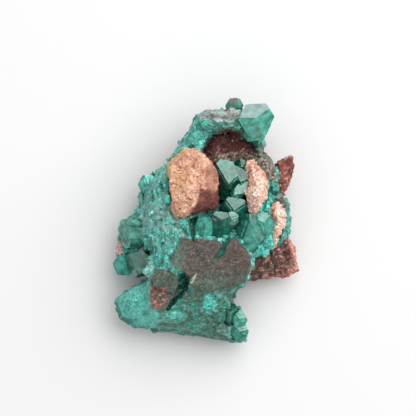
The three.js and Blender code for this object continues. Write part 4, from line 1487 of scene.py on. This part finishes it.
@dataclass
class PaleBlock:
    """The angular tan block that stands highest."""

    fineness: float = 0.26
    west_side: Patch = Patch(((-11, 6), (-7.4, 6), (-7, 2), (-7.4, -0.6), (-11, -0.6)), 0.3, 0.8)
    corner: Patch = Patch(((0.6, 1.4), (0.6, -2.6), (4, -2.6), (4, 1.4)), 0.2, 0.8)
    shaded: Patch = Patch(((3, 9.6), (0.6, 8.8), (-1.3, 6.8), (-1.6, 3.2), (0, 0.6), (3, 0.6)), 1.0, 0.7)
    stained_and_shaded: Patch = Patch(
        ((-1.5, 3.6), (1.2, 3.2), (3, 4.2), (3, -1.4), (-3.4, -2), (-3.4, -0.4), (-2.4, 0.8)), 0.3, 0.4
    )

    def build(self, stone: Material) -> None:
        """Sculpts and paints the block.

        Args:
            stone: the block's material.
        """
        skin = Surface("pale_rock_block", "pale_block_skin", self.fineness)
        skin.swell(-0.04)
        skin.swell(-0.55 * skin.share(self.west_side))
        skin.swell(0.5 * skin.share(self.corner))
        skin.chip(3.0, 0.08, 0.1, 233)
        skin.chip(1.2, 0.2, 0.08, 253)
        skin.chip(0.6, 0.3, 0.05, 263)
        skin.swell(0.05 * ripple(skin.points, 0.7, 221))
        skin.paint(Tone.TAN)
        skin.paint(Tone.PALE_TAN, skin.blotch(2.4, 222, -0.4, 0.4), 0.9)
        skin.paint(Tone.OCHRE, Patch(((-6.4, 8), (-4, 8.4), (-4, 3), (-5.8, 2), (-7.4, 2.4)), 0.9, 1.2), 0.3)
        skin.paint(Tone.OCHRE, Patch(((-6, 6.2), (-5, 6.4), (-4.8, 5), (-5.8, 4.6)), 0.5, 0.5), 0.5)
        skin.paint(Tone.OCHRE, Trace(((-8.2, 7.4), (-7, 9.6), (-4.6, 11.4)), 0.5, 0.6, 0.5), 0.5)
        # The face turned away from the light is painted darker and redder: painted shade.
        skin.paint(Tone.BLUSH, self.shaded, 0.55)
        skin.paint(Tone.STAINED, skin.share(self.shaded) * skin.blotch(1.8, 226, -0.2, 0.5), 0.5)
        # The south-east face: real red-brown stain, painted darker still as painted shade.
        skin.paint(Tone.STAINED, self.stained_and_shaded, 0.95)
        skin.paint(Tone.RUST, skin.share(self.stained_and_shaded) * skin.blotch(1.6, 224, 0.1, 0.5), 0.5)
        # Painted shade: the lower south-east corner darkened to maroon.
        foot = Patch(((3, 2.6), (0.8, 1.8), (-2.8, -0.2), (-2.8, -2.2), (3, -2)), 0.4, 0.6)
        skin.paint(Tone.MAROON, foot, 0.85)
        # Painted shade: the hollows darkened.
        skin.paint(Tone.STAINED, ramp(skin.hollows(5), 0.05, 0.3), 0.5)
        skin.speckle(Tone.MAROON, 0.5, 0.93, 225)
        skin.finish(stone, "pale_rock")


@dataclass
class CalciteRib:
    """A sugary rib of peach calcite."""

    node: str
    blush: Trace
    blunt: Patch  # its upper end
    thicker: float  # millimetres that it swells there
    westward: float = 0.0  # millimetres that its lower end leans to the west
    fineness: float = 0.2

    def build(self, stone: Material) -> None:
        """Sculpts and paints the rib.

        Args:
            stone: the calcite's material.
        """
        skin = Surface(self.node, self.node + "_skin", self.fineness)
        skin.points[:, EAST] -= self.westward * skin.along(NORTH, 1.0, -8.0)
        skin.swell(0.06)
        skin.swell(self.thicker * skin.share(self.blunt))
        skin.chip(1.6, 0.28, 0.14, 333)
        skin.chip(0.7, 0.4, 0.12, 353)
        skin.paint(Tone.PEACH)
        skin.paint(Tone.BLUSH, self.blush, 0.8)
        # Painted shade: the hollows darkened.
        skin.paint(Tone.STAINED, ramp(skin.hollows(4), 0.08, 0.25), 0.5)
        skin.finish(stone, "calcite")


@dataclass
class Studio:
    """Floor, lights and camera, with distances in metres except where millimetres are said."""

    frame_width: float = 83.2  # millimetres across the view at the reference height
    reference_height: float = 12.0  # millimetres over the floor
    lens: float = 200.0
    sensor: float = 36.0
    key_direction: tuple[float, float, float] = (0.45, 0.5, 0.76)
    key_distance: float = 0.62
    key_size: float = 0.85
    key_power: float = 4.6
    dome_height: float = 0.75
    dome_size: float = 1.7
    dome_power: float = 4.3
    fill: float = 0.34
    floor_width: float = 4.0

    def build(self) -> None:
        """Sets up the floor, the lights and the camera."""
        self.floor()
        self.lights()
        self.camera()
        bpy.context.scene.view_settings.view_transform = "Standard"

    def floor(self) -> None:
        """A pale matt floor."""
        bpy.ops.mesh.primitive_plane_add(size=self.floor_width)
        floor = bpy.context.object
        floor.name = "studio_floor"
        material, node = blank("matt_white_paper")
        paper = {"Base Color": linear("#e2e2e2"), "Roughness": 0.9, "Specular IOR Level": 0.2}
        node("ShaderNodeOutputMaterial", {"Surface": node("ShaderNodeBsdfPrincipled", paper)})
        dress(floor, material)

    def lights(self) -> None:
        """A large soft light from the upper right, a wide canopy overhead and a dim white surround."""
        towards = Vector(self.key_direction).normalized()
        self.lamp("soft_key", towards, self.key_distance, self.key_size, self.key_power)
        self.lamp("canopy", Vector((0, 0, 1)), self.dome_height, self.dome_size, self.dome_power)
        world = bpy.data.worlds.new("white_tent")
        world.use_nodes = True
        surround = world.node_tree.nodes["Background"].inputs
        surround["Color"].default_value = (1, 1, 1, 1)
        surround["Strength"].default_value = self.fill
        bpy.context.scene.world = world

    @staticmethod
    def lamp(name: str, towards: Vector, distance: float, size: float, power: float) -> None:
        """Hangs a round soft light that faces the specimen.

        Args:
            name: the light's name.
            towards: its direction from the specimen.
            distance: how far away it hangs, in metres.
            size: its width, in metres.
            power: its power, in watts.
        """
        lamp = bpy.data.lights.new(name, "AREA")
        lamp.shape = "DISK"
        lamp.size = size
        lamp.energy = power
        light = bpy.data.objects.new(name, lamp)
        light.location = towards * distance
        light.rotation_euler = towards.to_track_quat("Z", "Y").to_euler()
        bpy.context.scene.collection.objects.link(light)

    def camera(self) -> None:
        """A camera straight above, with the specimen's length up the view."""
        lens = bpy.data.cameras.new("camera")
        lens.lens = self.lens
        lens.sensor_width = self.sensor
        camera = bpy.data.objects.new("camera", lens)
        distance = self.frame_width * self.lens / self.sensor
        camera.location = (0, 0, (self.reference_height + distance) * MM)
        lens.clip_start = 0.01
        lens.clip_end = 10
        bpy.context.scene.collection.objects.link(camera)
        bpy.context.scene.camera = camera


def grown(node: str, finish: FaceFinish, rows: Sequence[tuple]) -> CrystalGroup:
    """A group of crystals from the values of each: tip, caps, spin, reach, depth, milk and frost_and_sheen.
    """
    return CrystalGroup(node, finish, tuple(Crystal(*row) for row in rows))


UPPER_RIB = CalciteRib(
    "calcite_rib_upper",
    Trace(((7.7, 4.6), (8.6, 8.8), (10.4, 8.4), (12, 4.8)), 0.5, 0.5, 0.5),
    Patch(((7, 9.6), (10.4, 9.6), (10.4, 7.4), (7.4, 7)), 0.2, 0.6),
    0.3,
)
LOWER_RIB = CalciteRib(
    "calcite_rib_lower",
    Trace(((12.6, 1), (12.4, -7), (14, -8)), 0.6, 0.5, 0.5),
    Patch(((11.8, 1.6), (15.4, 1.6), (15, -1.6), (12.4, -1.6)), 0.2, 0.8),
    0.4,
    0.5,
)
GROUPS = (
    grown("crown_crystals", FaceFinish("#6c8c86"), (
        ((9.2, 17.7, 21.8), ((95, 22), (-45, 42), (268, 48)), 94, (2.5, 2.6, 2.8, 4.2, 3.2, 3.2), 11, 0.95),
        ((8.4, 14.9, 18.4), ((95, 25), (215, 45), (-30, 45)), 35, (1.6, 1.2, 1, 1.3, 1.5, 1.4), 7, 0.75),
        ((10.2, 14.2, 17), ((80, 35), (200, 50), (-35, 50)), 20, (0.8, 1.2, 1.4, 1.4, 1.9, 0.8), 8, 0.6, 0.4),
    )),
    grown("ledge_crystal", FaceFinish("#6b5f5a"), (
        ((5.8, 20.3, 18.8), ((275, 3), (255, 36), (0, 50)), 90, (1.1, 1.8, 2, 2.6, 0.9, 0.9), 6, 0.7, 1.3),
    )),
    grown("vug_crystals", FaceFinish(), (
        ((4.1, 4.9, 20), ((85, 20), (205, 70), (-40, 66)), 80, (4.2, 4.2, 2.3, 1, 1.2, 2.1), 9, 0.4, 0.35),
        ((6.5, 5.2, 19.2), ((60, 24), (205, 66), (-50, 60)), 60, (2, 3.6, 1.5, 0.9, 1.2, 1.3), 8, 0.15, 0.2),
        ((5.3, 2.7, 19.1), ((75, 17), (165, 60), (285, 55)), 15,
         (3.4, 3.4, 0.7, 0.6, 0.7, 1.2), 7.4, 0.7, 0.4),
        ((6.6, 8.1, 17.4), ((40, 35), (170, 50), (-60, 50)), 30, (1.1, 1.3, 1.4, 1.2, 1.1, 1.1), 6, 0),
        ((3.5, 3, 16.4), ((70, 30), (200, 45), (-50, 45)), 10, (1.8, 1.8, 1.2, 1.2, 1.3, 1.2), 5.5, 0, 0.3),
    )),
    grown("bank_crystals", FaceFinish(), (
        ((5.2, -0.4, 19.6), ((85, 22), (205, 58), (-45, 58)), 80, (2.2, 2.4, 2.6, 1, 1.7, 2.4), 7.5, 0.35, 0),
        ((2.6, -2.2, 20), ((70, 18), (235, 40), (-60, 42)), 20,
         (2.4, 1.2, 1.6, 2.6, 3.8, 2.9), 10, 0.1, 0.15),
        ((4.7, -2.2, 20), ((60, 16), (200, 50), (-60, 50)), 60, (1.2, 1.2, 1.1, 0.9, 1, 1.1), 6, 0.6, 0.6),
        ((-0.6, -3, 19.6), ((100, 30), (215, 42), (-40, 45)), 40, (1.4, 1, 1.4, 2.2, 2.6, 1.9), 8, 0.95, 0),
    )),
    grown("pyramid_crystals", FaceFinish(), (
        ((8.3, -2.7, 19.8), ((262, 34), (186, 58), (8, 54)), 82, (1.2, 2.2, 3.8, 5.8, 4, 2.6), 10, 0.7, 0.3),
        ((11, -2.8, 18), ((80, 24), (235, 38), (-20, 44)), 80, (1.8, 1.9, 2.1, 3.4, 2, 1.2), 8, 0.9, 0.1),
    )),
    grown("upper_west_crystals", FaceFinish(), (
        ((-15.2, -2.9, 10.4), ((90, 62), (262, 22), (180, 50)), 90, (0.5, 2.1, 2.3, 2, 1.9, 1.7), 6, 0.95, 0),
        ((-15.7, -4, 10.9), ((90, 64), (266, 20), (180, 50)), 90, (0.5, 1.9, 2.1, 2, 2.3, 2), 6.5, 0.55, 0),
        ((-15.3, -5.1, 11.1), ((92, 62), (270, 22), (185, 50)), 90, (0.5, 2.1, 2.2, 2, 2, 1.8), 7, 0.95, 0),
        ((-15.4, -6.2, 10.9), ((88, 60), (272, 26), (190, 50)), 90,
         (0.5, 1.7, 1.9, 1.6, 2.2, 2), 6.5, 0.4, 0.1),
    )),
    grown("west_crystals", FaceFinish("#4f756a"), (
        ((-14.1, -13.2, 11.9), ((235, 4), (200, 68), (290, 68)), 45,
         (3.9, 4, 3, 0.6, 0.6, 2.4), 7.4, 0.2, 0.9),
        ((-12.3, -8.6, 12.2), ((60, 50), (180, 55), (300, 55)), 30,
         (1.1, 1.2, 1.2, 1.9, 1.6, 1.2), 6.5, 0, 0),
        ((-17.1, -11.3, 8.8), ((60, 44), (200, 36), (300, 40)), 82,
         (1.6, 1.6, 1.8, 2.1, 2.2, 1.6), 5.4, 0.95, 0),
    )),
    grown("shoulder_crystal", FaceFinish("#3bd6c0"), (
        ((-12, 4.8, 12.4), ((60, 26), (180, 44), (300, 44)), 30, (1.5, 1.6, 1.6, 1.7, 1.8, 1.4), 6.5, 1, 0.9),
    )),
    grown("foot_crystals", FaceFinish(), (
        ((4.4, -20.6, 12), ((80, 42), (220, 50), (320, 50)), 90, (1.2, 1.4, 1.8, 2.8, 1.5, 1.4), 7, 0.1, 0.1),
        ((6.2, -22.2, 11), ((70, 30), (190, 42), (300, 42)), 90,
         (1.5, 1.3, 1.3, 2, 1.5, 1.2), 6.5, 0.75, 0.2),
        ((6.3, -24.8, 10), ((70, 26), (190, 40), (300, 40)), 90, (1.6, 1.5, 1.4, 1.8, 1.5, 1.5), 6, 0.7, 0.2),
    )),
)


def main() -> None:
    """Builds the specimen and its studio."""
    logging.basicConfig(level=logging.INFO, format="%(message)s")
    druse = DRUSE_CRYSTALS.material()
    grains = ROCK_GRAINS.material()
    Crust().build(CRUST_STONE.material(), druse)
    HostRock().build(HOST_STONE.material(), grains)
    PaleBlock().build(PALE_STONE.material())
    calcite = CALCITE_STONE.material()
    UPPER_RIB.build(calcite)
    LOWER_RIB.build(calcite)
    glassy = DIOPTASE.material()
    for group in GROUPS:
        group.build(glassy)
    Studio().build()


if __name__ == "__main__":
    main()
